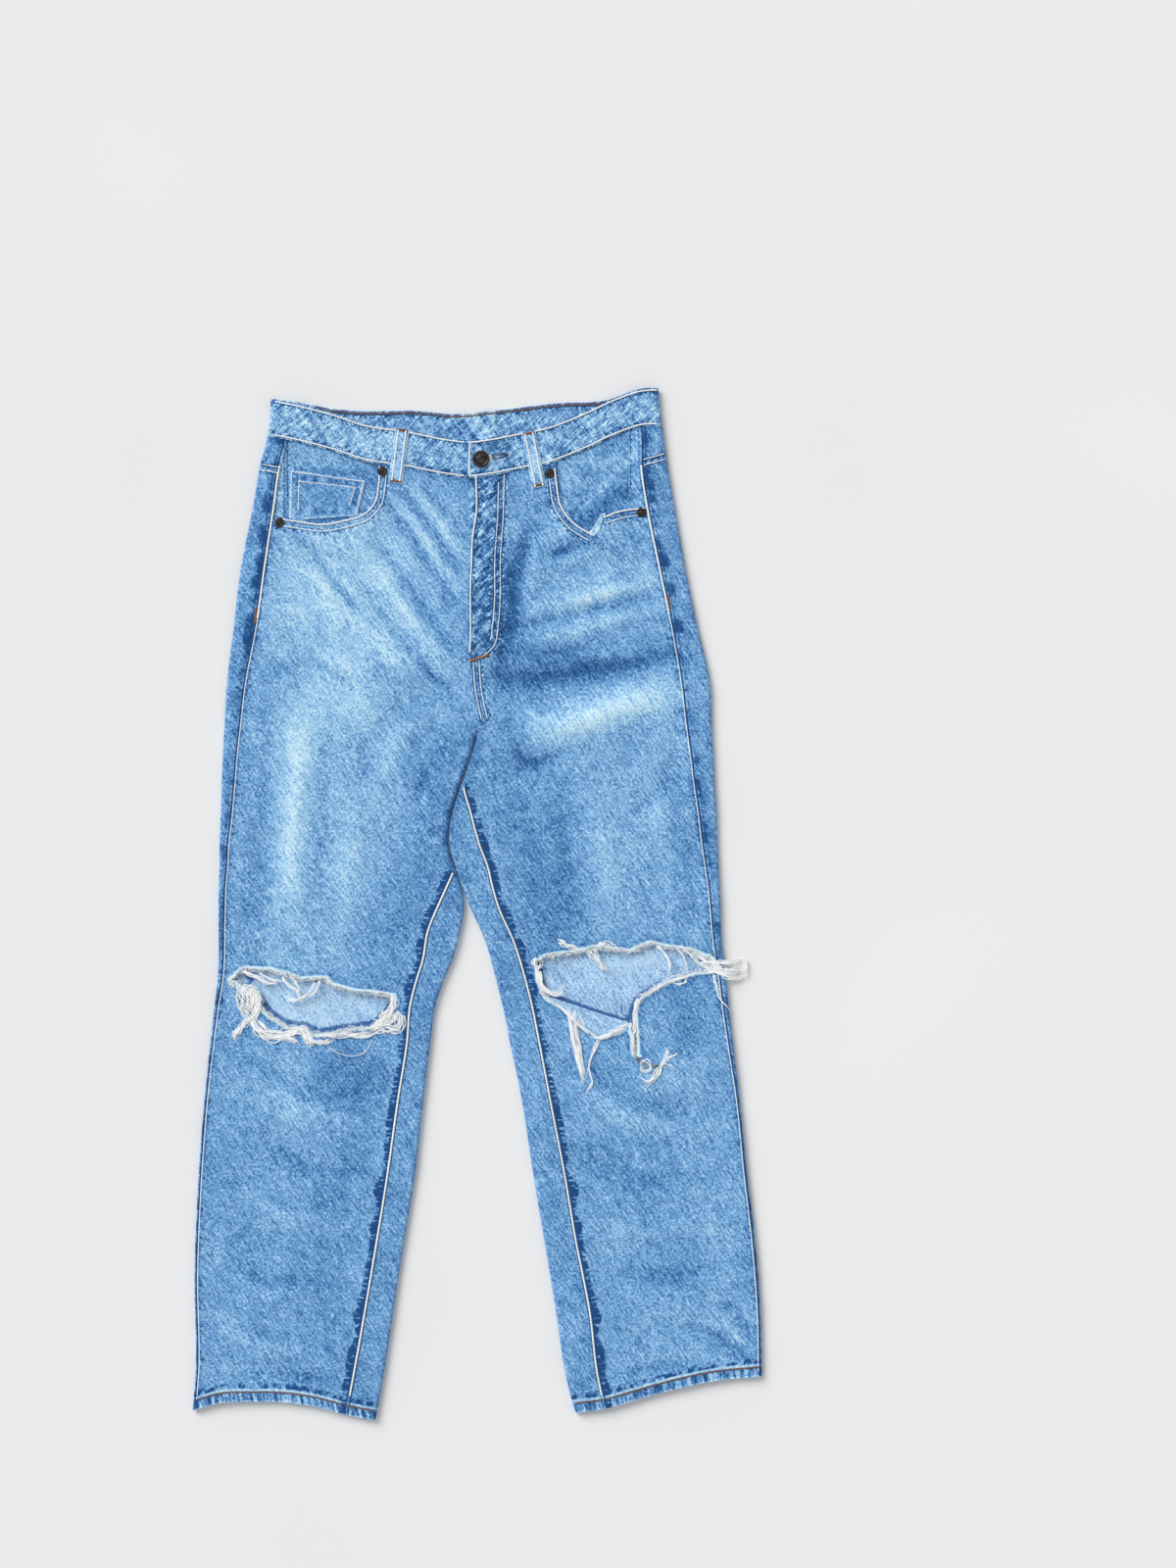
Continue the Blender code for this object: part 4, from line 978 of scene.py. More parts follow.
class Nodes:
    """Makes one material; each step takes sockets or plain numbers."""

    def __init__(self, name):
        self.material = bpy.data.materials.new(name)
        self.material.use_nodes = True
        self.tree = self.material.node_tree
        self.shader = self.tree.nodes["Principled BSDF"]

    def put(self, socket, value):
        if isinstance(value, bpy.types.NodeSocket):
            self.tree.links.new(value, socket)
        else:
            socket.default_value = value

    def math(self, operation, a, b=0.0):
        node = self.tree.nodes.new("ShaderNodeMath")
        node.operation = operation
        self.put(node.inputs[0], a)
        self.put(node.inputs[1], b)
        return node.outputs[0]

    def between(self, value, low, high, start=0.0, end=1.0):
        """Maps low to start and high to end, smoothly and no further."""
        node = self.tree.nodes.new("ShaderNodeMapRange")
        node.interpolation_type = "SMOOTHSTEP"
        for socket, number in zip(node.inputs[:5], (value, low, high, start, end)):
            self.put(socket, number)
        return node.outputs[0]

    def parts(self, name):
        """The three numbers of a stored vector."""
        node = self.tree.nodes.new("ShaderNodeAttribute")
        node.attribute_name = name
        split = self.tree.nodes.new("ShaderNodeSeparateXYZ")
        self.tree.links.new(node.outputs["Vector"], split.inputs[0])
        return split.outputs[0], split.outputs[1], split.outputs[2]

    def place(self, size, turn=0.0):
        """Object coordinates in units of size, in a frame turned about the upright axis."""
        where = self.tree.nodes.new("ShaderNodeTexCoord")
        turned_frame = self.tree.nodes.new("ShaderNodeMapping")
        turned_frame.vector_type = "TEXTURE"
        turned_frame.inputs["Rotation"].default_value = (0, 0, math.radians(turn))
        turned_frame.inputs["Scale"].default_value = [value * MM for value in size]
        self.tree.links.new(where.outputs["Object"], turned_frame.inputs["Vector"])
        return turned_frame.outputs[0]

    def noise(self, where, detail=2.0, roughness=0.5):
        node = self.tree.nodes.new("ShaderNodeTexNoise")
        for name, value in (("Scale", 1.0), ("Detail", detail), ("Roughness", roughness), ("Vector", where)):
            self.put(node.inputs[name], value)
        return node.outputs[0]

    def grain(self, size, turn=0.0, detail=1.0, roughness=0.5):
        """Noise with grains of that size in millimetres."""
        return self.noise(self.place(size, turn), detail, roughness)

    def seam_grain(self, across, width, along, length, detail=1.0):
        """Noise that follows a seam, with grains of that width and length."""
        node = self.tree.nodes.new("ShaderNodeCombineXYZ")
        self.put(node.inputs[0], self.math("DIVIDE", across, width))
        self.put(node.inputs[1], self.math("DIVIDE", along, length))
        return self.noise(node.outputs[0], detail)

    def ramp(self, value, stops):
        node = self.tree.nodes.new("ShaderNodeValToRGB")
        self.put(node.inputs[0], value)
        row = node.color_ramp.elements
        while len(row) < len(stops):
            row.new(0.5)
        for element, (place, colour) in zip(row, stops):
            element.position = place
            element.color = colour
        return node.outputs[0]

    def mix(self, share, a, b):
        node = self.tree.nodes.new("ShaderNodeMix")
        node.data_type = "RGBA"
        for index, value in ((0, share), (6, a), (7, b)):
            self.put(node.inputs[index], value)
        return node.outputs[2]

    def darken(self, value, amount, *shares):
        """Takes amount off value where all the shares are 1."""
        for share in shares:
            amount = self.math("MULTIPLY", share, amount)
        return self.math("SUBTRACT", value, amount)

    def vary(self, value, texture, amount):
        """Adds amount times a texture's difference from one half."""
        return self.math("ADD", value, self.math("MULTIPLY", self.math("SUBTRACT", texture, 0.5), amount))

    def bump(self, height, distance, strength):
        node = self.tree.nodes.new("ShaderNodeBump")
        node.inputs["Distance"].default_value = distance * MM
        node.inputs["Strength"].default_value = strength
        self.put(node.inputs["Height"], height)
        self.put(self.shader.inputs["Normal"], node.outputs[0])

    def finish(self, colour, roughness, metallic=0.0, specular=0.3):
        self.put(self.shader.inputs["Base Color"], colour)
        self.put(self.shader.inputs["Roughness"], roughness)
        self.shader.inputs["Metallic"].default_value = metallic
        self.shader.inputs["Specular IOR Level"].default_value = specular
        return self.material


def twill_lines(m):
    """The fine diagonal lines of the weave."""
    node = m.tree.nodes.new("ShaderNodeTexWave")
    node.inputs["Scale"].default_value = 0.32
    node.inputs["Distortion"].default_value = 1.2
    m.tree.links.new(m.place((1.0, 1.0, 1.0), 62), node.inputs["Vector"])
    return node.outputs["Fac"]


def worn_and_shaded_seams(m, value):
    """Dark dashes beside the inseam, worn patches at the side seam, puckers along stitches, and painted
    shade in the seams' grooves and beside their stitches.
    """
    side, inseam, along = m.parts("seams")
    sewn = m.math("ABSOLUTE", m.parts("edges")[2])
    dashes = m.seam_grain(inseam, 15, along, 2.7)
    broken = m.seam_grain(inseam, 40, along, 21)
    dash = m.between(m.math("ADD", dashes, m.math("MULTIPLY", broken, 0.4)), 0.58, 0.74)
    reach = m.math("SUBTRACT", inseam, m.math("MULTIPLY", broken, 14))
    value = m.darken(value, 0.62, dash, m.between(inseam, 2.0, 3.0), m.between(reach, 3.2, 0.2))
    # Painted shadow line beside the inseam's stitches.
    value = m.darken(value, 0.36, m.between(inseam, 2.0, 2.6), m.between(inseam, 5.4, 3.8))
    worn = m.seam_grain(side, 9, along, 5, 2.0)
    value = m.darken(value, 0.30, m.between(worn, 0.5, 0.70), m.between(side, 10.0, 2.0))
    # Painted shadow line beside the side seam's stitches, stronger higher up.
    high_up = m.between(along, 200, 290, 0.35, 1.0)
    value = m.darken(value, 0.24, m.between(side, 2.5, 3.1), m.between(side, 4.8, 3.5), high_up)
    # Painted shade in the grooves of the side seam and the inseam.
    for distance in (side, m.math("ABSOLUTE", inseam)):
        value = m.darken(value, 0.85, m.between(distance, 0.9, 0.3))
    pearls = m.grain((2.6, 2.6, 2.6))
    past_stitch = m.between(sewn, 1.4, 2.0)
    # Painted shade right beside the rows of stitches, then pale and dark puckers past them.
    value = m.darken(value, 0.34, m.between(sewn, 0.6, 1.0), m.between(sewn, 2.4, 1.3))
    value = m.darken(value, 0.50, m.between(pearls, 0.50, 0.66), past_stitch, m.between(sewn, 5.5, 3.5))
    return m.darken(value, -0.30, m.between(pearls, 0.46, 0.30), past_stitch, m.between(sewn, 5.0, 3.5))


def worn_and_shaded_hem(m, value):
    """Pale and dark bars across the hem, a pale edge, and broken shadows above its stitches."""
    hem = m.parts("edges")[1]
    bar = m.math("MULTIPLY", m.math("SUBTRACT", m.grain((3.4, 30, 8), 8), 0.56), 1.7)
    value = m.math("ADD", value, m.math("MULTIPLY", m.between(hem, 9.0, 8.0), bar))
    value = m.darken(value, -0.30, m.between(hem, 10.0, 11.0), m.between(hem, 13.6, 12.0))
    # Painted shadows in broken patches above the hem's fold.
    shadow = m.between(m.grain((5.5, 9, 8), -30, 2.0), 0.42, 0.62)
    value = m.darken(value, 0.60, shadow, m.between(hem, 12.4, 13.4), m.between(hem, 20.0, 15.0))
    return m.darken(value, -0.25, m.between(hem, 2.0, 0.6))


def denim_material():
    """Washed blue twill: mottle, diagonal slubs, worn seams and hem with painted shade beside them, pale
    torn edges, and a paler inside with painted shadow under the rips' edges.
    """
    m = Nodes("washed_denim")
    tone, inside, strong = m.parts("tone")
    tear = m.parts("edges")[0]
    mottle = m.grain((2.3, 2.3, 2.3), 0.0, 3.0, 0.7)
    twill = twill_lines(m)
    value = tone
    for texture, amount in (
        (mottle, 1.5),
        (m.grain((11, 1.0, 6), -54, 2.0), 0.85),
        (m.grain((26, 1.6, 8), -58), 0.42),
        (m.grain((14, 9, 10), 20, 2.0, 0.6), 0.26),
        (twill, 0.06),
    ):
        value = m.vary(value, texture, amount)
    value_inside = m.math("ADD", 0.03, value)
    value = worn_and_shaded_hem(m, worn_and_shaded_seams(m, value))

    pulls = m.math("ABSOLUTE", m.math("SUBTRACT", m.grain((17, 3.4, 10), 42), 0.5))
    value = m.darken(value, -0.46, m.between(pulls, 0.05, 0.0), m.between(strong, 0.05, 0.25))
    mottled = m.grain((15, 4.2, 8), 46, 2.0)
    value = m.darken(value, 0.50, m.between(mottled, 0.50, 0.68), strong)
    value = m.darken(value, -0.40, m.between(mottled, 0.48, 0.32), strong)

    value = m.darken(value, 0.12, m.between(tear, 9.0, 2.5), m.between(tear, 1.2, 2.6))
    ragged_tear = m.vary(tear, mottle, 3.5)
    value = m.darken(value, -0.75, m.between(ragged_tear, 3.8, 1.4))
    # Painted shadow on the paler inside face, along torn edges and along the lines where torn cloth meets
    # the layer under it.
    painted_rip_shadow = m.between(m.math("ABSOLUTE", tear), 3.6, 0.6)
    lining = m.ramp(m.darken(value_inside, 0.60, painted_rip_shadow), LINING_COLOURS)
    outside = m.ramp(value, DENIM_COLOURS)
    m.bump(m.math("ADD", m.math("MULTIPLY", mottle, 0.7), m.math("MULTIPLY", twill, 0.3)), 0.35, 0.8)
    m.shader.inputs["Sheen Weight"].default_value = 0.08
    return m.finish(m.mix(inside, outside, lining), 0.92, specular=0.15)


def thread_material(name, colour, dark, size=3.0):
    """Spun thread with an uneven shade and a soft, fuzzy surface."""
    m = Nodes(name)
    shade = m.grain((size, size, size), 0.0, 2.0, 0.6)
    m.shader.inputs["Sheen Weight"].default_value = 0.5
    m.shader.inputs["Sheen Roughness"].default_value = 0.5
    return m.finish(m.ramp(shade, ((0.3, dark), (0.62, colour))), 0.8, specular=0.2)


def metal_material():
    """Dark antique metal, paler where it is rubbed."""
    m = Nodes("dark_antique_metal")
    rub = m.grain((2.2, 2.2, 2.2), 0.0, 3.0, 0.65)
    m.bump(rub, 0.12, 0.6)
    return m.finish(m.ramp(rub, METAL_COLOURS), m.between(rub, 0.3, 0.8, 0.34, 0.58), 1.0, 0.5)


def floor_material():
    """Plain pale ground with a very faint unevenness."""
    m = Nodes("pale_ground")
    return m.finish(m.ramp(m.grain((300, 300, 300)), FLOOR_COLOURS), 0.95, specular=0.0)


def spaced(points, pitch):
    """Evenly spaced places along a line of points, and the direction at each."""
    line = np.array(points, float)
    total = lengths_along(line)
    at = np.arange(pitch / 2, total[-1], pitch)

    def places(shift):
        return np.column_stack([np.interp(at + shift, total, line[:, k]) for k in (0, 1)])

    ahead = places(0.5) - places(-0.5)
    return places(0), ahead / np.hypot(ahead[:, 0], ahead[:, 1])[:, None]


def tube(points, radius, sides):
    """Vertices and faces of a closed thin tube along points; radius is one or one for each."""
    points = np.array(points, float)
    ahead = np.gradient(points, axis=0)
    ahead /= np.linalg.norm(ahead, axis=1)[:, None] + 1e-9
    across = np.cross(ahead, (0.02, 0.03, 1.0))
    across /= np.linalg.norm(across, axis=1)[:, None] + 1e-9
    up = np.cross(across, ahead)
    radius = np.broadcast_to(radius, (len(points),))[:, None]
    angles = [2 * math.pi * k / sides for k in range(sides)]
    rings = [points + radius * (math.cos(angle) * across + math.sin(angle) * up) for angle in angles]
    vertices = np.stack(rings, axis=1).reshape(-1, 3)
    faces = [face[::-1] for i in range(len(points) - 1) for face in belt(i * sides, sides, sides)]
    faces.append(tuple(range(sides)))
    faces.append(tuple(range(len(vertices) - 1, len(vertices) - sides - 1, -1)))
    return vertices, faces


class Gathered:
    """Collects many small shapes into one object."""

    def __init__(self):
        self.vertices = []
        self.faces = []
        self.count = 0

    def add(self, vertices, faces):
        self.vertices.append(np.asarray(vertices))
        self.faces += [tuple(self.count + index for index in face) for face in faces]
        self.count += len(vertices)

    def make(self, name, material, slot, node=None):
        thing = new_object(name, np.concatenate(self.vertices), self.faces, material)
        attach(thing, "root")
        if node:
            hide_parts(node)


def sew(gathered, points, level, radius, up=1):
    """A line of raised stitches; level gives the cloth's height at places, up is -1 below."""
    place, ahead = spaced(points, STITCH_PITCH)
    reach = ahead * STITCH_PITCH * 0.46
    middle = level(*place.T)
    ends = [(-1, level(*(place - reach).T)), (1, level(*(place + reach).T))]
    rows = []
    for along, z in ends:
        low = np.column_stack([place + along * reach, z - up * 0.30])
        crown = np.column_stack([place + along * 0.6 * reach, 0.8 * z + 0.2 * middle + up * 0.16])
        rows += [low, crown] if along < 0 else [crown, low]
    for arch in np.stack(rows, axis=1):
        gathered.add(*tube(arch, (radius * 0.7, radius, radius, radius * 0.7), 5))


def tack(gathered, start, end, width, level, up=1):
    """A bar tack: close stitches across a short bar."""
    place, ahead = spaced((start, end), 0.75)
    for (x, y), (dx, dy) in zip(place, ahead):
        side = np.array([-dy, dx]) * width / 2
        ends = np.array([(x, y) - side, (x, y), (x, y) + side])
        z = level(ends[:, 0], ends[:, 1]) + np.array([0, up * 0.45, 0])
        gathered.add(*tube(np.column_stack([ends, z]), 0.40, 4))


def offset_line(points, away):
    """A line moved sideways, to its left if positive."""
    line = np.array(points, float)
    ahead = np.gradient(line, axis=0)
    ahead /= np.hypot(ahead[:, 0], ahead[:, 1])[:, None]
    return line + away * np.column_stack([-ahead[:, 1], ahead[:, 0]])


def curved(points, count):
    """A smooth curve through a few points in the plane."""
    line = np.array(points, float)
    table = np.column_stack([lengths_along(line), line]).tolist()
    at = np.linspace(0, table[-1][0], count)
    return np.column_stack([smooth(table, 1, at), smooth(table, 2, at)])


def make_panels():
    """The fronts, with their pocket openings and rips cut out, and the backs."""
    fine = [
        np.arange(464, -30, -3.1), np.arange(-30, -172, -1.7), np.arange(-172, -485, -3.3),
        [-485, -488, -489.6, -490.4], np.arange(-492, -503, -2.2), [-503],
    ]
    coarse = [[YOKE_ROW], np.arange(YOKE_ROW - 8, -486, -4.0), [-489.6, -490.4, -496, -503]]
    cuts = {"right": (POCKET_RIGHT_CUT, RIP_RIGHT_CUT), "left": (POCKET_LEFT_CUT, RIP_LEFT_CUT)}
    for leg in (right, left):
        for kind, upper, rows, columns, top_edge, top_row in (
            ("front", True, fine, 58, band_front_y, TOP_ROW),
            ("back", False, coarse, 44, yoke_y, YOKE_ROW),
        ):
            size = (np.concatenate(rows), columns, top_edge, top_row)
            node = f"{kind}_{leg.name}"
            panel = wall(f"cloth_{node}", *(panel_grid(leg, upper, *size, inner) for inner in (False, True)))
            torn = None
            if upper:
                torn = ragged(cuts[leg.name][1], *RAGGED)
                cut(panel, np.array(cuts[leg.name][0], float))
                cut(panel, torn)
                curl_edge(panel, torn)
            paint_panel(panel, leg, upper, torn)
            adopt(panel, node)


def yoke_grid(leg, depth):
    """The points of one face of a yoke, from the waistband down to the yoke's seam."""
    grid = []
    edge = leg.seam_x(TOP_ROW)
    top = band_back_y(edge)
    for share in np.linspace(0, 1, 21):
        side_y = top + share * (yoke_y(edge) - top)
        row = TOP_ROW + share * (YOKE_ROW - TOP_ROW)
        x, z, on_top, on_floor = leg.lower_row(row, float(side_y), depth, 50)
        front_share = 0.5 * (1 + on_top - on_floor)
        high = front_share * band_front_y(x) + (1 - front_share) * band_back_y(x) - BAND_GAP
        y = high + share * (yoke_y(x) - high)
        z = z + on_top * (top_rise(x, y) + sewn_rise(leg, x, y, False)) + on_floor * floor_rise(x, y)
        grid.append(np.column_stack([x, y, z]))
    return np.array(grid)


def make_yokes():
    for leg in (right, left):
        yoke = wall(f"cloth_yoke_{leg.name}", yoke_grid(leg, 0), yoke_grid(leg, WALL))
        paint_panel(yoke, leg, False)
        adopt(yoke, f"yoke_{leg.name}")


def band_lap(x):
    """How far the waistband's over end is raised, from its lap to where it comes down."""
    return BAND_RAISE * step(x, BAND_UNDER_END + 22, BAND_UNDER_END + 3)


def band_pull(x, height):
    """Diagonal pulls along the band, strongest beside its two rows of stitches."""
    middle = 0.35 + 0.65 * abs(height - BAND_HEIGHT / 2) / (BAND_HEIGHT / 2)
    return patchy(x + 0.75 * height, height, 5.5, 22, 51) * middle


def band_grid(depth):
    """The waistband runs from its right end over the front, round the back, to its left end."""
    side_arcs = np.array([12, 9, 7, 5, 4, 3, 2, 1, 0, -1, -2, -3, -4, -5, -7, -9, -12])
    heights = [[0, 0.8], np.linspace(2.2, BAND_HEIGHT - 2.2, 15), [BAND_HEIGHT - 0.8, BAND_HEIGHT]]
    grid = []
    for height in np.concatenate(heights):
        tips = []
        for leg in (right, left):
            tip = leg.outer(band_front_y(leg.outer(TOP_ROW)) + height)
            order = side_arcs[:: -leg.side]
            tips.append(fold_points(QUARTER + order, RADIUS, RADIUS, tip, -leg.side, depth))
        (x_right, rise_right, turn_right), (x_left, rise_left, turn_left) = tips
        first = np.linspace(BAND_UNDER_END, x_right[0], 100)[:-1]
        floor = np.linspace(x_right[-1], x_left[0], 170)[1:-1]
        final = np.linspace(x_left[-1], BAND_OVER_END, 100)[1:]
        x = np.concatenate([first, x_right, floor, x_left, final])
        ends = np.ones(len(first))
        below = np.ones(len(floor))
        over = HEIGHT - depth
        z = np.concatenate([over * ends, rise_right, depth * below, rise_left, over * ends])
        turn = np.concatenate([-ends, turn_right, below, turn_left, -ends])
        y = (1 - turn) / 2 * band_front_y(x) + (1 + turn) / 2 * band_back_y(x) + height
        z = z + np.clip(-turn, 0, 1) * (top_rise(x, y) + 0.55 * band_pull(x, height))
        z = z + np.clip(turn, 0, 1) * floor_rise(x, y)
        z[-len(final):] += band_lap(final)
        grid.append(np.column_stack([x, y, z]))
    return np.array(grid)


def make_band():
    """The waistband, with a strong mottle and paler pulls."""
    band = wall("cloth_waistband", band_grid(0), band_grid(BAND_WALL))
    places, normals = points_of(band)
    x, y, z = places.T
    front = z > RADIUS
    height = y - np.where(front, band_front_y(x), band_back_y(x))
    behind = (normals[:, 2] > 0) & ~front
    tone = 0.45 + (0.26 - 0.18 * behind) * band_pull(x, height) - 0.05 * behind
    tone = tone + 0.07 * patchy(x, y, 24, 20, 52)
    tone = tone + 0.08 * step(x, -30, -90) * front - 0.06 * plateau(x, -8, 56, 10) * front
    edge = np.minimum(np.abs(height), np.abs(BAND_HEIGHT - height))
    tone = tone + 0.10 * bell(edge, 1.3) - 0.08 * bell(edge - 5, 2.5)
    sewn = nearer(*(height - line for line in BAND_LINES))
    paint(band, np.clip(tone, 0, 1), mottle=0.32 - 0.10 * behind, along=y, sewn=sewn)
    adopt(band, "waistband")


def facing_grid(leg, inner_x, drop, depth):
    """A pocket facing: level with the back panel at the side seam, then under the front."""
    across = np.concatenate([np.linspace(0, 0.12, 9), np.linspace(0.12, 1, 16)[1:]])
    grid = []
    for share in np.linspace(0, 1, 26):
        x = np.full(24, float(leg.seam_x(FACING_TOP)))
        for _ in range(3):
            high = band_front_y(x) - BAND_GAP
            y = high + share * (FACING_BOTTOM - high)
            seam = leg.seam_x(y) - leg.side * 2 * GAP
            x = seam + across * (inner_x - seam)
        away = np.abs(x - seam)
        coin = drop * plateau(x, -188, -100, 8) * step(y, 452, 438)
        sunk = (WALL + 2 * GAP + coin) * np.maximum(step(away, 0, 8), step(y, 420, 402))
        grid.append(np.column_stack([x, y, HEIGHT + base_rise(x, y) - sunk - depth]))
    return np.array(grid)


def patch_grid(corners, level, rows, columns):
    """The points of a patch between four corners, at the height that level gives."""
    corners = np.array(corners, float)
    grid = []
    for down in np.linspace(0, 1, rows):
        start = corners[0] + down * (corners[3] - corners[0])
        end = corners[1] + down * (corners[2] - corners[1])
        line = start + np.linspace(0, 1, columns)[:, None] * (end - start)
        grid.append(np.column_stack([line, level(line[:, 0], line[:, 1])]))
    return np.array(grid)


def coin_level(x, y):
    return HEIGHT + base_rise(x, y) - WALL - GAP + 0.25 * patchy(x, y, 9, 7, 61)


def make_facings():
    for leg, inner_x, drop in ((right, -86, PATCH_WALL), (left, 68, 0)):
        grids = [facing_grid(leg, inner_x, drop, depth) for depth in (0, PATCH_WALL)]
        facing = wall(f"cloth_facing_{leg.name}", *grids)
        x, y = plan_of(facing)
        # Darker towards the lower edge: painted shade where the facing runs under the front's opening edge.
        tone = 0.43 + 0.10 * patchy(x, y, 14, 11, 62) - 0.10 * step(y, 396, 384)
        if leg.side > 0:
            fold = beside_lines([FACING_FOLD], x, y)
            tone = tone + 0.22 * bell(fold, 1.6) - 0.10 * step(fold, 0, -6) + 0.16 * step(x, 150, 153)
            line = x - 151
        else:
            tone = tone + 0.20 * step(x, -189, -192) + 0.06 * step(y, 430, 440)
            line = x + 190
        sewn = np.where(np.abs(line) < 4, line, FAR)
        paint(facing, np.clip(tone, 0, 1), side=np.abs(x - leg.seam_x(y)), along=y, sewn=sewn)
        adopt(facing, f"pocket_facing_{leg.name}")


def make_coin_pocket():
    outer = patch_grid(COIN_POCKET, coin_level, 16, 30)
    coin = wall("cloth_coin_pocket", outer, outer - (0, 0, PATCH_WALL))
    x, y = plan_of(coin)
    edge = near_line(closed(COIN_POCKET), x, y)[0]
    tone = 0.44 + 0.12 * patchy(x, y, 8, 7, 63) + 0.20 * bell(edge, 1.4)
    paint(coin, tone + (0.32 * patchy(x, y, 3.5, 3, 66) - 0.06) * bell(edge - 5.5, 3))
    adopt(coin, "coin_pocket")


def make_lip():
    """The pale edge of the pocket bag that is turned out at the left pocket's notch."""
    def lip_level(x, y):
        return front_level(x, y) + 0.5 + 0.5 * patchy(x, y, 5, 6, 67)

    outer = patch_grid(POCKET_LIP, lip_level, 8, 14)
    waver = 1.3 * patchy(outer[:, :, 0], outer[:, :, 1], 6, 7, 69)
    outer[:, :, 0] += waver
    outer[:, :, 1] -= 0.6 * waver
    lip = wall("cloth_pocket_lip", outer, outer - (0, 0, 0.7))
    x, y = plan_of(lip)
    paint(lip, 0.86 + 0.24 * patchy(x, y, 4, 6, 68))
    adopt(lip, None)


def make_back_pocket(name, outline):
    """A back pocket: a patch with softly turned edges, under the back panel."""
    corners = closed(outline)
    centre = corners[:-1].mean(axis=0)
    steps = np.linspace(0, 1, 40, endpoint=False)
    ring = np.array([a + t * (b - a) for a, b in zip(corners, corners[1:]) for t in steps])
    shares = (0.0, 0.2, 0.4, 0.6, 0.75, 0.86, 0.93, 0.97, 1.0)
    vertices = []
    for low in (True, False):
        for share in shares:
            place = centre + share * (ring - centre)
            edge = step(share, 0.985, 1.0)
            wave = 0.18 * patchy(place[:, 0], place[:, 1], 12, 12, 64) * (1 - edge)
            z = np.clip(0.12 + wave, 0, 0.4) + 0.25 * edge if low else PATCH_WALL - 0.25 * edge
            vertices.append(np.column_stack([place, np.broadcast_to(z, (len(ring),))]))
    count = len(ring)
    layers = len(shares)
    starts = [s for s in range(2 * layers) if s % layers < layers - 1]
    faces = [face for s in starts for face in belt(s * count, count, count)]
    faces += belt((layers - 1) * count, count, layers * count)
    thing = new_object(f"cloth_{name}", np.concatenate(vertices), faces, denim)
    face_outward(thing, merge=True)
    x, y = plan_of(thing)
    edge = near_line(corners, x, y)[0]
    tone = 0.46 + 0.10 * patchy(x, y, 26, 20, 65)
    paint(thing, tone + 0.16 * bell(edge, 1.6) - 0.14 * bell(edge - 6.5, 3))
    adopt(thing, name)


def loop_place(ends, t, across):
    """A place on a belt loop: t runs down it from 0 to 1, and across is from its middle."""
    x0, y0, x1, y1 = ends
    side = np.array([y0 - y1, x1 - x0]) / math.hypot(x1 - x0, y1 - y0)
    return np.array([x0 + t * (x1 - x0), y0 + t * (y1 - y0)]) + side * across


def band_level(x, y):
    """The height of the waistband's front, on its lapped end too."""
    lap = BAND_RAISE * plateau(x, BAND_OVER_END, BAND_UNDER_END + 3, 0.2)
    lap = np.where(x > BAND_UNDER_END + 3, band_lap(x), lap)
    return HEIGHT + top_rise(x, y) + 0.55 * band_pull(x, y - band_front_y(x)) + lap


def under_loop(x, y):
    """The height of what a front belt loop lies on: the waistband, and the front below it."""
    on_band = step(y - band_front_y(x), -3, 0)
    return on_band * band_level(x, y) + (1 - on_band) * (HEIGHT + top_rise(x, y))


def make_loop(name, ends, base_at, up):
    """A belt loop: a folded strip with two raised edges and turned-in, pressed ends."""
    shares = np.concatenate([[0, 0.03, 0.07, 0.1], np.linspace(0.14, 0.86, 22), [0.9, 0.93, 0.97, 1]])
    offsets = np.array([-7, -6.6, -5.4, -3.8, -2, 0, 2, 3.8, 5.4, 6.6, 7])
    outer = []
    inner = []
    for t in shares:
        line = np.array([loop_place(ends, t, across) for across in offsets])
        base = base_at(line[:, 0], line[:, 1])
        pressed = 0.5 * (step(t, 0.1, 0.05) + step(t, 0.9, 0.95))
        crown = 0.35 * (1 - (offsets / 7) ** 2) + 0.25 * patchy(offsets, t * 60, 3, 4, 71)
        thick = LOOP_WALL + crown - 0.55 * step(np.abs(offsets), 6.2, 7) - pressed
        outer.append(np.column_stack([line, base + up * thick]))
        inner.append(np.column_stack([line, base]))
    thing = wall(f"cloth_{name}", np.array(outer), np.array(inner))
    x, y = plan_of(thing)
    middle = near_line((ends[:2], ends[2:]), x, y)[0]
    tone = 0.60 + 0.14 * bell(middle - 6.6, 0.8) - 0.16 * bell(middle - 4.2, 1.2)
    paint(thing, tone + 0.08 * patchy(x, y, 5, 5, 72))
    adopt(thing, name)


def lifted(level, lift):
    """The same height as level gives, and lift more."""
    return lambda x, y: level(x, y) + lift


def flat_at(height):
    """The same height everywhere."""
    return lambda x, y: np.full(np.shape(x), height)


def make_loops():
    for name, ends in FRONT_LOOPS.items():
        make_loop(name, ends, lifted(under_loop, 0.1), 1)
    for name, ends in BACK_LOOPS.items():
        make_loop(name, ends, flat_at(LOOP_WALL), -1)


def turned(profile, place, base, sides):
    """A turned piece with its axis upright: profile rows are radius, height."""
    angles = [2 * math.pi * k / sides for k in range(sides)]
    vertices = [(place[0], place[1], base + profile[0][1])]
    for radius, height in profile:
        for angle in angles:
            x = place[0] + radius * math.cos(angle)
            vertices.append((x, place[1] + radius * math.sin(angle), base + height))
    vertices.append((place[0], place[1], base + profile[-1][1] + 0.05))
    faces = [(0, 1 + (k + 1) % sides, 1 + k) for k in range(sides)]
    for ring in range(len(profile) - 1):
        faces += belt(1 + ring * sides, sides, sides)
    start = 1 + (len(profile) - 1) * sides
    faces += [(start + k, start + (k + 1) % sides, len(vertices) - 1) for k in range(sides)]
    return vertices, faces


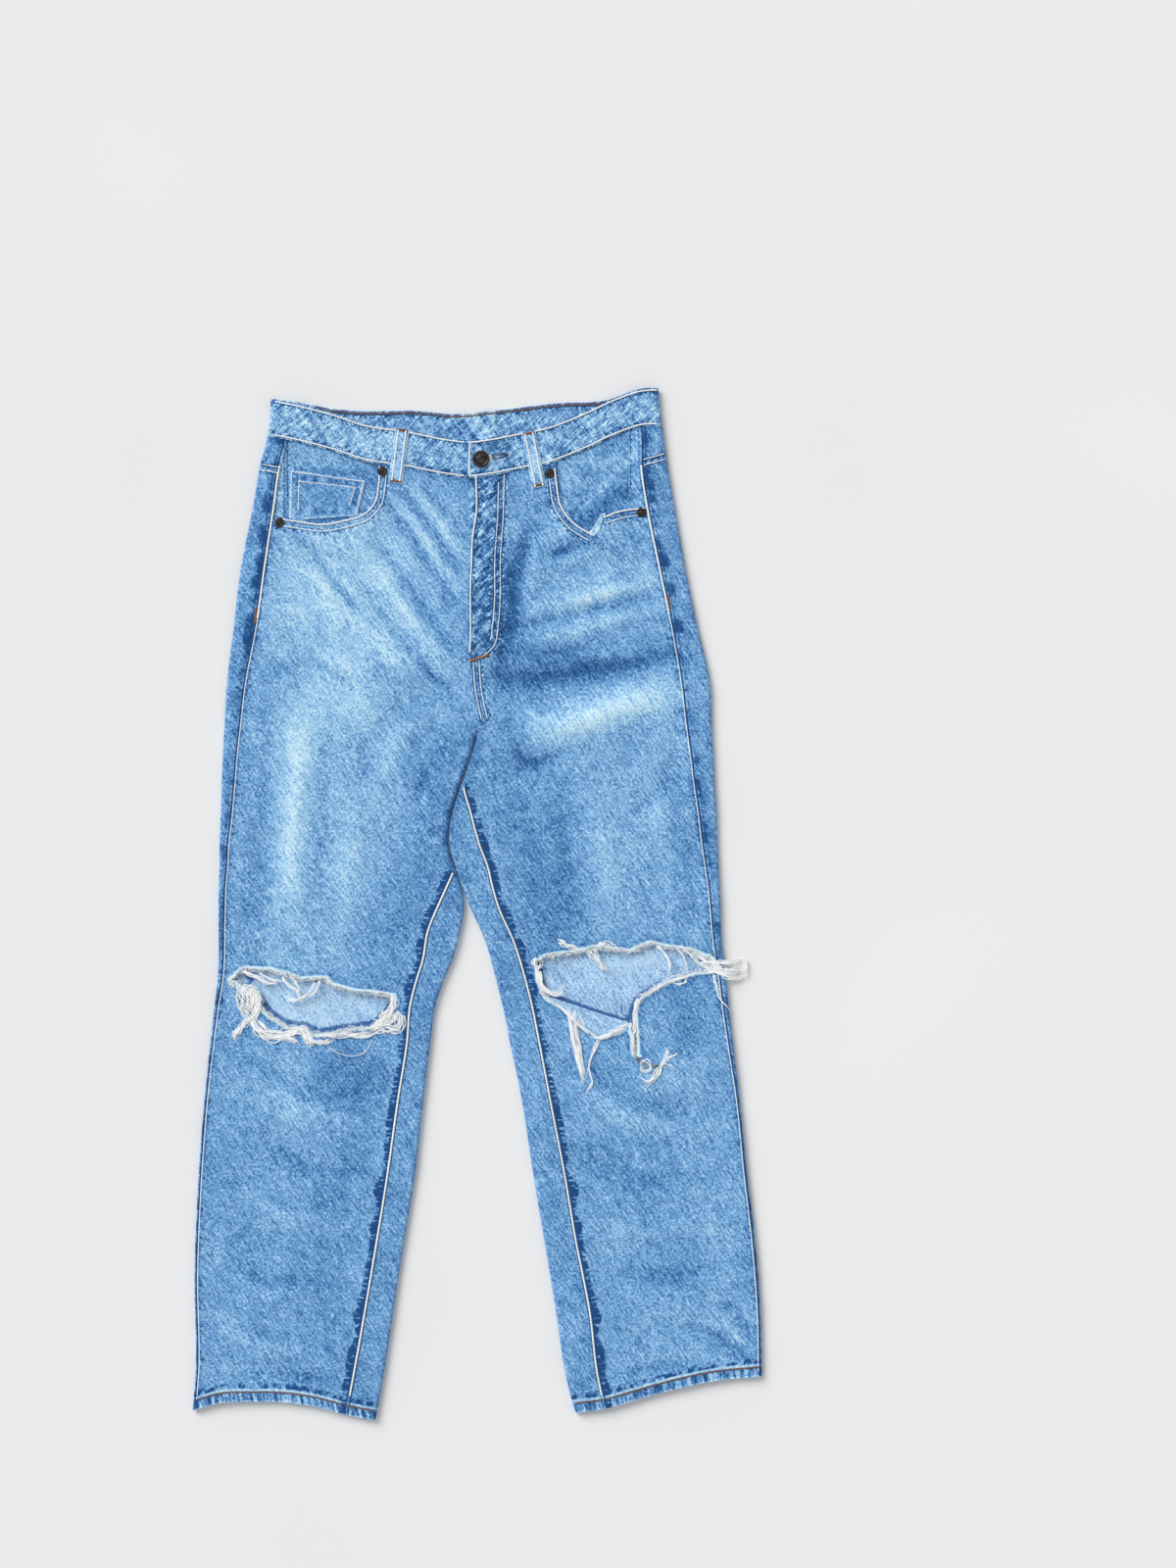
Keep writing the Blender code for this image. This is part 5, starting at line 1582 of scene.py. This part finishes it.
def make_metal():
    """The waist button, with a rolled rim and a beaded ring, and four domed rivets."""
    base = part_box("waist_button")[0][2] / MM
    button = Gathered()
    button.add(*turned(BUTTON_PROFILE, BUTTON, base, 72))
    for k in range(28):
        angle = 2 * math.pi * k / 28
        spot = (BUTTON[0] + 5.15 * math.cos(angle), BUTTON[1] + 5.15 * math.sin(angle))
        button.add(*turned(BEAD_PROFILE, spot, base + 2.3, 8))
    button.make("metal_waist_button", metal, "dark_metal", "waist_button")
    for name, place in RIVETS.items():
        rivet = Gathered()
        rivet.add(*turned(RIVET_PROFILE, place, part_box(name)[0][2] / MM, 40))
        rivet.make(f"metal_{name}", metal, "dark_metal", name)


def front_level(x, y):
    """The height of the fronts, with the fly's lap."""
    x = np.asarray(x, float)
    y = np.asarray(y, float)
    edge = left.inner_edge(y)
    raised = fly_lap(x, y) * (x > edge) + fly_ripple(x, y)
    return np.where(x < edge, right.level(x, y), left.level(x, y)) + raised


def front_lines(leg):
    """The rows of stitches on one front: pocket opening, and the fly, its curve and the crotch."""
    outline, turn = (POCKET_RIGHT_CUT[1:9], 1) if leg.side < 0 else (POCKET_LEFT_CUT[1:6], -1)
    line = curved(outline, 50)
    line = line[np.abs(line[:, 0]) < 199]
    lines = [offset_line(line, turn * away) for away in POCKET_LINES]
    if leg.side > 0:
        line = curved(POCKET_LEFT_CUT[6:9], 24)
        line = line[line[:, 0] < 166]
        lines += [offset_line(line, -away) for away in POCKET_LINES]
        curve = curved(FLY_CURVE, 50)
        lines += [curved(FLY_STITCH, 30), curve, offset_line(curve, -5.5)[2:-8]]
        lines += [offset_line(curved(CROTCH_STITCH, 12), away) for away in (2.2, 8.0)]
    return lines


def sew_leg(leg, cream, brown):
    """Side seam, inseam, the yoke's end on top, the hem on both sides, and the side's bar tack."""
    ys = np.arange(-488, 440, 4.0)
    seam_top = float(band_front_y(leg.seam_x(440)))
    bottom = float(hem_y(leg.seam_x(-490))) + 3
    run = np.array([(leg.seam_x(y) - leg.side * 1.5, y) for y in ys if bottom < y < seam_top])
    bold_from = BOLD_SEAM[leg.side]
    sew(cream, run[run[:, 1] > bold_from], lifted(leg.level, 0.12), SEAM_STITCH)
    sew(cream, run[run[:, 1] <= bold_from + 4], lifted(leg.level, 0.12), FINE_STITCH)
    top = SEAM_HIDDEN[leg.side] - 2
    inner = [(leg.inseam_x(y) + leg.side * 1.2, y) for y in ys if y < top]
    sew(cream, inner, lifted(leg.level, 0.45), SEAM_STITCH)
    across = np.linspace(leg.outer(YOKE_ROW) - leg.side * 2.5, leg.seam_x(YOKE_ROW) + leg.side * 1.5, 12)
    for away in YOKE_TOP_LINES:
        sew(cream, np.column_stack([across, yoke_y(across) + away]), lifted(leg.level, 0.5), FINE_STITCH)
    hem_x = np.linspace(leg.outer(-495) - leg.side * 3, leg.inner_edge(-495) + leg.side * 3, 80)
    sew(brown, np.column_stack([hem_x, hem_y(hem_x) + HEM_STITCH]), lifted(leg.level, 0.55), STITCH)
    hem_x = np.linspace(leg.outer(-495) - leg.side * 8, leg.inner(-495, False) + leg.side * 8, 60)
    hem = np.column_stack([hem_x, hem_y(hem_x) + HEM_STITCH])
    sew(brown, hem, flat_at(UNDER_STITCH), FINE_STITCH, up=-1)
    y = SIDE_TACK[leg.side]
    x = float(leg.seam_x(y)) + leg.side * 1.2
    tack(brown, (x, y - 8), (x - leg.side, y + 8), 2.6, lifted(leg.level, 0.2))


def sew_band(cream, brown):
    """Both edges of the waistband, in front, at its over end, and behind on both faces."""
    under = lifted(floor_rise, UNDER_STITCH)
    on_band = lifted(band_level, 0.06)
    for height in BAND_LINES:
        for low, high in ((-200, BAND_OVER_END - 3), (BAND_OVER_END + 2.5, 180)):
            x = np.linspace(low, high, 120)
            sew(cream, np.column_stack([x, band_front_y(x) + height]), on_band, STITCH)
        x = np.linspace(-198, 176, 150)
        sew(cream, np.column_stack([x, band_back_y(x) + height]), under, FINE_STITCH, up=-1)
    edge = [(BAND_OVER_END + 2.5, band_front_y(BAND_OVER_END) + height) for height in BAND_LINES]
    sew(cream, edge, on_band, STITCH)
    x = np.linspace(-190, 172, 150)
    top = np.column_stack([x, band_back_y(x) + BAND_LINES[1]])
    sew(brown, top, lifted(floor_rise, BAND_WALL + 0.02), STITCH)


def sew_back(cream):
    """The underside: the yokes' seams, the centre-back seam and the back pockets."""
    under = lifted(floor_rise, UNDER_STITCH)
    for leg in (right, left):
        for away in YOKE_UNDER_LINES:
            x = np.linspace(leg.outer(436) - leg.side * 6, -3 + leg.side * 3, 60)
            sew(cream, np.column_stack([x, yoke_y(x) + away]), under, FINE_STITCH, up=-1)
    y = np.linspace(388, 190, 60)
    for away in (2.4, 8.6):
        sew(cream, np.column_stack([left.inner_edge(y) + away, y]), under, FINE_STITCH, up=-1)
    on_pocket = flat_at(UNDER_STITCH + 0.1)
    for outline in (BACK_POCKET_RIGHT, BACK_POCKET_LEFT):
        points = np.array(outline, float)
        centre = points.mean(axis=0)
        for scale, corners in (
            ((0.965, 0.965), [0, 4, 3, 2, 1]), ((0.86, 0.86), [0, 4, 3, 2, 1]),
            ((0.96, 0.965), [0, 1]), ((0.96, 0.80), [0, 1]),
        ):
            ring = centre + (points - centre) * scale
            sew(cream, ring[corners], on_pocket, FINE_STITCH, up=-1)


def sew_loops(cream, brown):
    """Two rows of stitches down each belt loop, and a bar tack at both of its ends."""
    for name, ends in {**FRONT_LOOPS, **BACK_LOOPS}.items():
        if name in FRONT_LOOPS:
            level, radius, up = lifted(under_loop, LOOP_WALL + 0.2), STITCH, 1
        else:
            level, radius, up = flat_at(UNDER_STITCH), FINE_STITCH, -1
        for across in (-3.9, 3.9):
            sew(cream, [loop_place(ends, t, across) for t in (0.04, 0.96)], level, radius, up)
        for t in (0.045, 0.955):
            bar = [loop_place(ends, t, across) for across in (-5.6, 5.6)]
            tack(brown, *bar, 3.0, lifted(level, -up * 0.35), up)


def sew_buttonhole(cream, navy):
    """Close stitches round the buttonhole, with a few paler ones at its worn end."""
    start, end = np.array(BUTTONHOLE, float)
    ahead = (end - start) / np.hypot(*(end - start))
    side = np.array([-ahead[1], ahead[0]])
    for k in range(44):
        angle = 2 * math.pi * k / 44
        centre = start + (end - start) * (0.5 + 0.5 * math.cos(angle))
        inside = centre + side * math.sin(angle) * 0.7 + ahead * math.cos(angle) * 0.4
        outside = centre + side * math.sin(angle) * 3.0 + ahead * math.cos(angle) * 2.6
        spots = np.array([inside, (inside + outside) / 2, outside])
        z = band_level(spots[:, 0], spots[:, 1]) + np.array([0.05, 0.5, 0.05])
        thread = cream if math.cos(angle) < -0.5 else navy
        thread.add(*tube(np.column_stack([spots, z]), 0.42, 4))


def make_sewing():
    cream = Gathered()
    brown = Gathered()
    navy = Gathered()
    for leg in (right, left):
        sew_leg(leg, cream, brown)
        for k, line in enumerate(front_lines(leg)):
            sew(cream, line, front_level, STITCH if k in (0, 2, 4) else FINE_STITCH)
    tack(brown, (-8, 241.5), (12, 247.5), 3.2, front_level)
    coin = np.array(COIN_POCKET, float)
    centre = coin.mean(axis=0)
    for shrink in ((0.95, 0.92), (0.74, 0.56)):
        ring = centre + (coin - centre) * shrink
        for corners in ([0, 1, 2], [3, 0]):
            sew(cream, ring[corners], lifted(coin_level, 0.05), FINE_STITCH)
    sew_band(cream, brown)
    sew_back(cream)
    sew_loops(cream, brown)
    sew_buttonhole(cream, navy)
    cream.make("stitches_cream", cream_thread, "thread")
    navy.make("stitches_navy", navy_thread, "thread")
    brown.make("stitches_brown", brown_thread, "thread")


def fray_level(leg, x, y):
    """Threads lie on the cloth, and hang lower past the leg's outer edge."""
    over = step(leg.side * (x - leg.outer(y)), 0, 14)
    return (HEIGHT + creased_rise(x, y)) * (1 - over) + 2.4 * over


def add_threads(gathered, leg, table, seed):
    """Bunches of loose threads that wander about their line."""
    random = np.random.default_rng(seed)
    t = np.linspace(0, 1, 18)
    fan = 0.45 + 0.55 * np.sin(math.pi * (0.15 + 0.7 * t))
    for count, spread, above, *points in table:
        line = curved(points, 18)
        for _ in range(count):
            start, end = random.uniform(0, 0.12), random.uniform(0.82, 1.0)
            share = start + t * (end - start)
            phase = random.uniform(0, 6.3, 4)
            off = random.normal(0, 0.45, 2) * spread
            waves = random.uniform(5, 16, 2)
            sway = 0.30 * spread + 0.25
            x, y = (
                np.interp(share, t, line[:, k]) + off[k] * fan + sway * np.sin(waves[k] * t + phase[k])
                for k in (0, 1)
            )
            arch = above * (0.25 + 0.75 * random.uniform()) * np.sin(math.pi * (0.1 + 0.85 * t))
            z = fray_level(leg, x, y) + arch + 0.3 * np.sin(9 * t + phase[2]) + 0.2
            radius = random.uniform(0.32, 0.60) * (1 - 0.6 * step(t, 0.75, 1))
            gathered.add(*tube(np.column_stack([x, y, z]), radius, 4))


def add_rim(gathered, leg, outline, seed):
    """Short broken fibres that stand out of a torn edge, and longer ones that run along it."""
    random = np.random.default_rng(seed)
    place, ahead = spaced(closed(outline), 0.55)
    across = np.column_stack([-ahead[:, 1], ahead[:, 0]])
    level = fray_level(leg, place[:, 0], place[:, 1])
    in_slit = (place[:, 0] > SLIT_X[0]) & (place[:, 0] < SLIT_X[1]) & (place[:, 1] < SLIT_TOP)
    in_slit &= leg.side > 0
    in_tail = in_slit & (place[:, 1] < SLIT_TAIL)
    t = np.linspace(0, 1, 4)
    for k in range(len(place)):
        if in_tail[k] and k % 3:
            continue
        clump = 0.5 + 0.5 * patchy(k, 0, 9, 1, seed)
        turn = random.uniform(-0.9, 0.9)
        toward = across[k] * random.choice((-1, 1), p=(0.45, 0.55)) + ahead[k] * turn
        length = random.uniform(1.0, 3.0) + 4.5 * clump**2 * random.uniform() * (not in_slit[k])
        bend = random.uniform(-1, 1) * length * 0.35
        spots = place[k] + np.outer(t, toward * length) + np.outer(t * t, ahead[k] * bend)
        z = level[k] + 0.2 + random.uniform(0.1, 1.4) * np.sin(2.6 * t) - 0.5 * (t == 0)
        gathered.add(*tube(np.column_stack([spots, z]), random.uniform(0.16, 0.30), 3))
    for start in range(0, len(place) - 60, 9):
        if random.uniform() < 0.25 or in_tail[start:start + 60].any():
            continue
        run = slice(start, start + random.integers(20, 58), 3)
        t = np.linspace(0, 1, len(place[run]))
        wander = random.uniform(-1.5, 1.5) + 1.3 * np.sin(random.uniform(3, 12) * t + random.uniform(0, 6))
        spots = place[run] + across[run] * wander[:, None]
        z = level[run] + 0.3 + random.uniform(0.1, 1.5) * np.sin(math.pi * t)
        gathered.add(*tube(np.column_stack([spots, z]), random.uniform(0.24, 0.42), 3))


def make_flap():
    """The cloth folded out of the left rip, with its inside up."""
    fold = curved(FLAP_FOLD, 48)
    swell = np.sin(np.linspace(0, math.pi, 48))[:, None] ** 0.3
    edge = curved(FLAP_EDGE, 48) + 0.5 * np.random.default_rng(8).normal(0, 1, (48, 2)) * swell
    outer = []
    for t in np.concatenate([[-0.03, 0.0, 0.02, 0.05], np.linspace(0.1, 1, 14)]):
        x, y = (fold + (edge - fold) * max(t, 0)).T
        roll = math.sqrt(1 - (1 - min((t + 0.03) / 0.12, 1)) ** 2)
        z = HEIGHT + base_rise(x, y) - 1.4 + 2.9 * roll - 0.5 * t + 0.35 * patchy(x, y, 12, 9, 81)
        outer.append(np.column_stack([x, y, z]))
    outer = np.array(outer)
    flap = wall("cloth_rip_flap", outer, outer - (0, 0, 1.1))
    x, y = plan_of(flap)
    away = near_line(FLAP_EDGE, x, y)[0]
    paint(flap, 0.4, 0.92 * step(away, 0, 3), along=y, tear=away)
    adopt(flap, None)


def make_fray():
    for node, leg, table, rim in (
        ("fray_right", right, THREADS_RIGHT, RIP_RIGHT_CUT),
        ("fray_left", left, THREADS_LEFT, RIP_LEFT_CUT),
        ("fray_side", left, THREADS_SIDE, None),
    ):
        threads = Gathered()
        add_threads(threads, leg, table, 91)
        if rim:
            add_rim(threads, leg, ragged(rim, *RAGGED), 92)
        threads.make(f"threads_{node}", white_thread, "thread", node)


def make_stage():
    """Pale floor, soft light from the upper left, and a camera straight above."""
    bpy.ops.mesh.primitive_plane_add(size=12)
    floor = bpy.context.object
    floor.name = "floor"
    floor.location.z = -0.0006
    floor.data.materials.append(floor_material())
    scene = bpy.context.scene
    light = bpy.data.lights.new("window", "SUN")
    light.angle = math.radians(36)
    light.energy = KEY_STRENGTH
    lamp = bpy.data.objects.new("window", light)
    lamp.location = (-1.5, 1.5, 1.6)
    lamp.rotation_euler = (-lamp.location).to_track_quat("-Z", "Y").to_euler()
    scene.collection.objects.link(lamp)
    world = bpy.data.worlds.new("soft_sky")
    world.use_nodes = True
    sky = world.node_tree.nodes["Background"]
    sky.inputs[0].default_value = (1.0, 1.0, 1.0, 1)
    sky.inputs[1].default_value = SKY_STRENGTH
    scene.world = world
    camera = bpy.data.objects.new("camera", bpy.data.cameras.new("camera"))
    camera.data.sensor_width = SENSOR
    camera.data.lens = SENSOR * CAMERA_HEIGHT / VIEW_HEIGHT
    camera.location = (VIEW_CENTRE[0] + SHIFT[0], VIEW_CENTRE[1] + SHIFT[1], CAMERA_HEIGHT)
    scene.collection.objects.link(camera)
    scene.camera = camera
    scene.view_settings.view_transform = "Standard"
    scene.view_settings.look = "None"


button_low, button_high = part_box("waist_button")
SHIFT = np.array([(button_low[k] + button_high[k]) / 2 - BUTTON[k] * MM for k in (0, 1)] + [0.0])
right = Leg("right", -1, RIGHT_LEG)
left = Leg("left", 1, LEFT_LEG)
denim = denim_material()
cream_thread = thread_material("cream_thread", CREAM, (0.88, 0.89, 0.83, 1))
navy_thread = thread_material("navy_thread", (0.02, 0.05, 0.13, 1), (0.006, 0.012, 0.03, 1))
brown_thread = thread_material("brown_thread", BROWN, (0.10, 0.045, 0.03, 1))
white_thread = thread_material("white_loose_thread", WHITE, (0.86, 0.91, 0.93, 1), 6.0)
metal = metal_material()

make_stage()
make_panels()
make_yokes()
make_band()
make_facings()
make_coin_pocket()
make_lip()
make_back_pocket("back_pocket_right", BACK_POCKET_RIGHT)
make_back_pocket("back_pocket_left", BACK_POCKET_LEFT)
make_loops()
make_metal()
make_sewing()
make_flap()
make_fray()
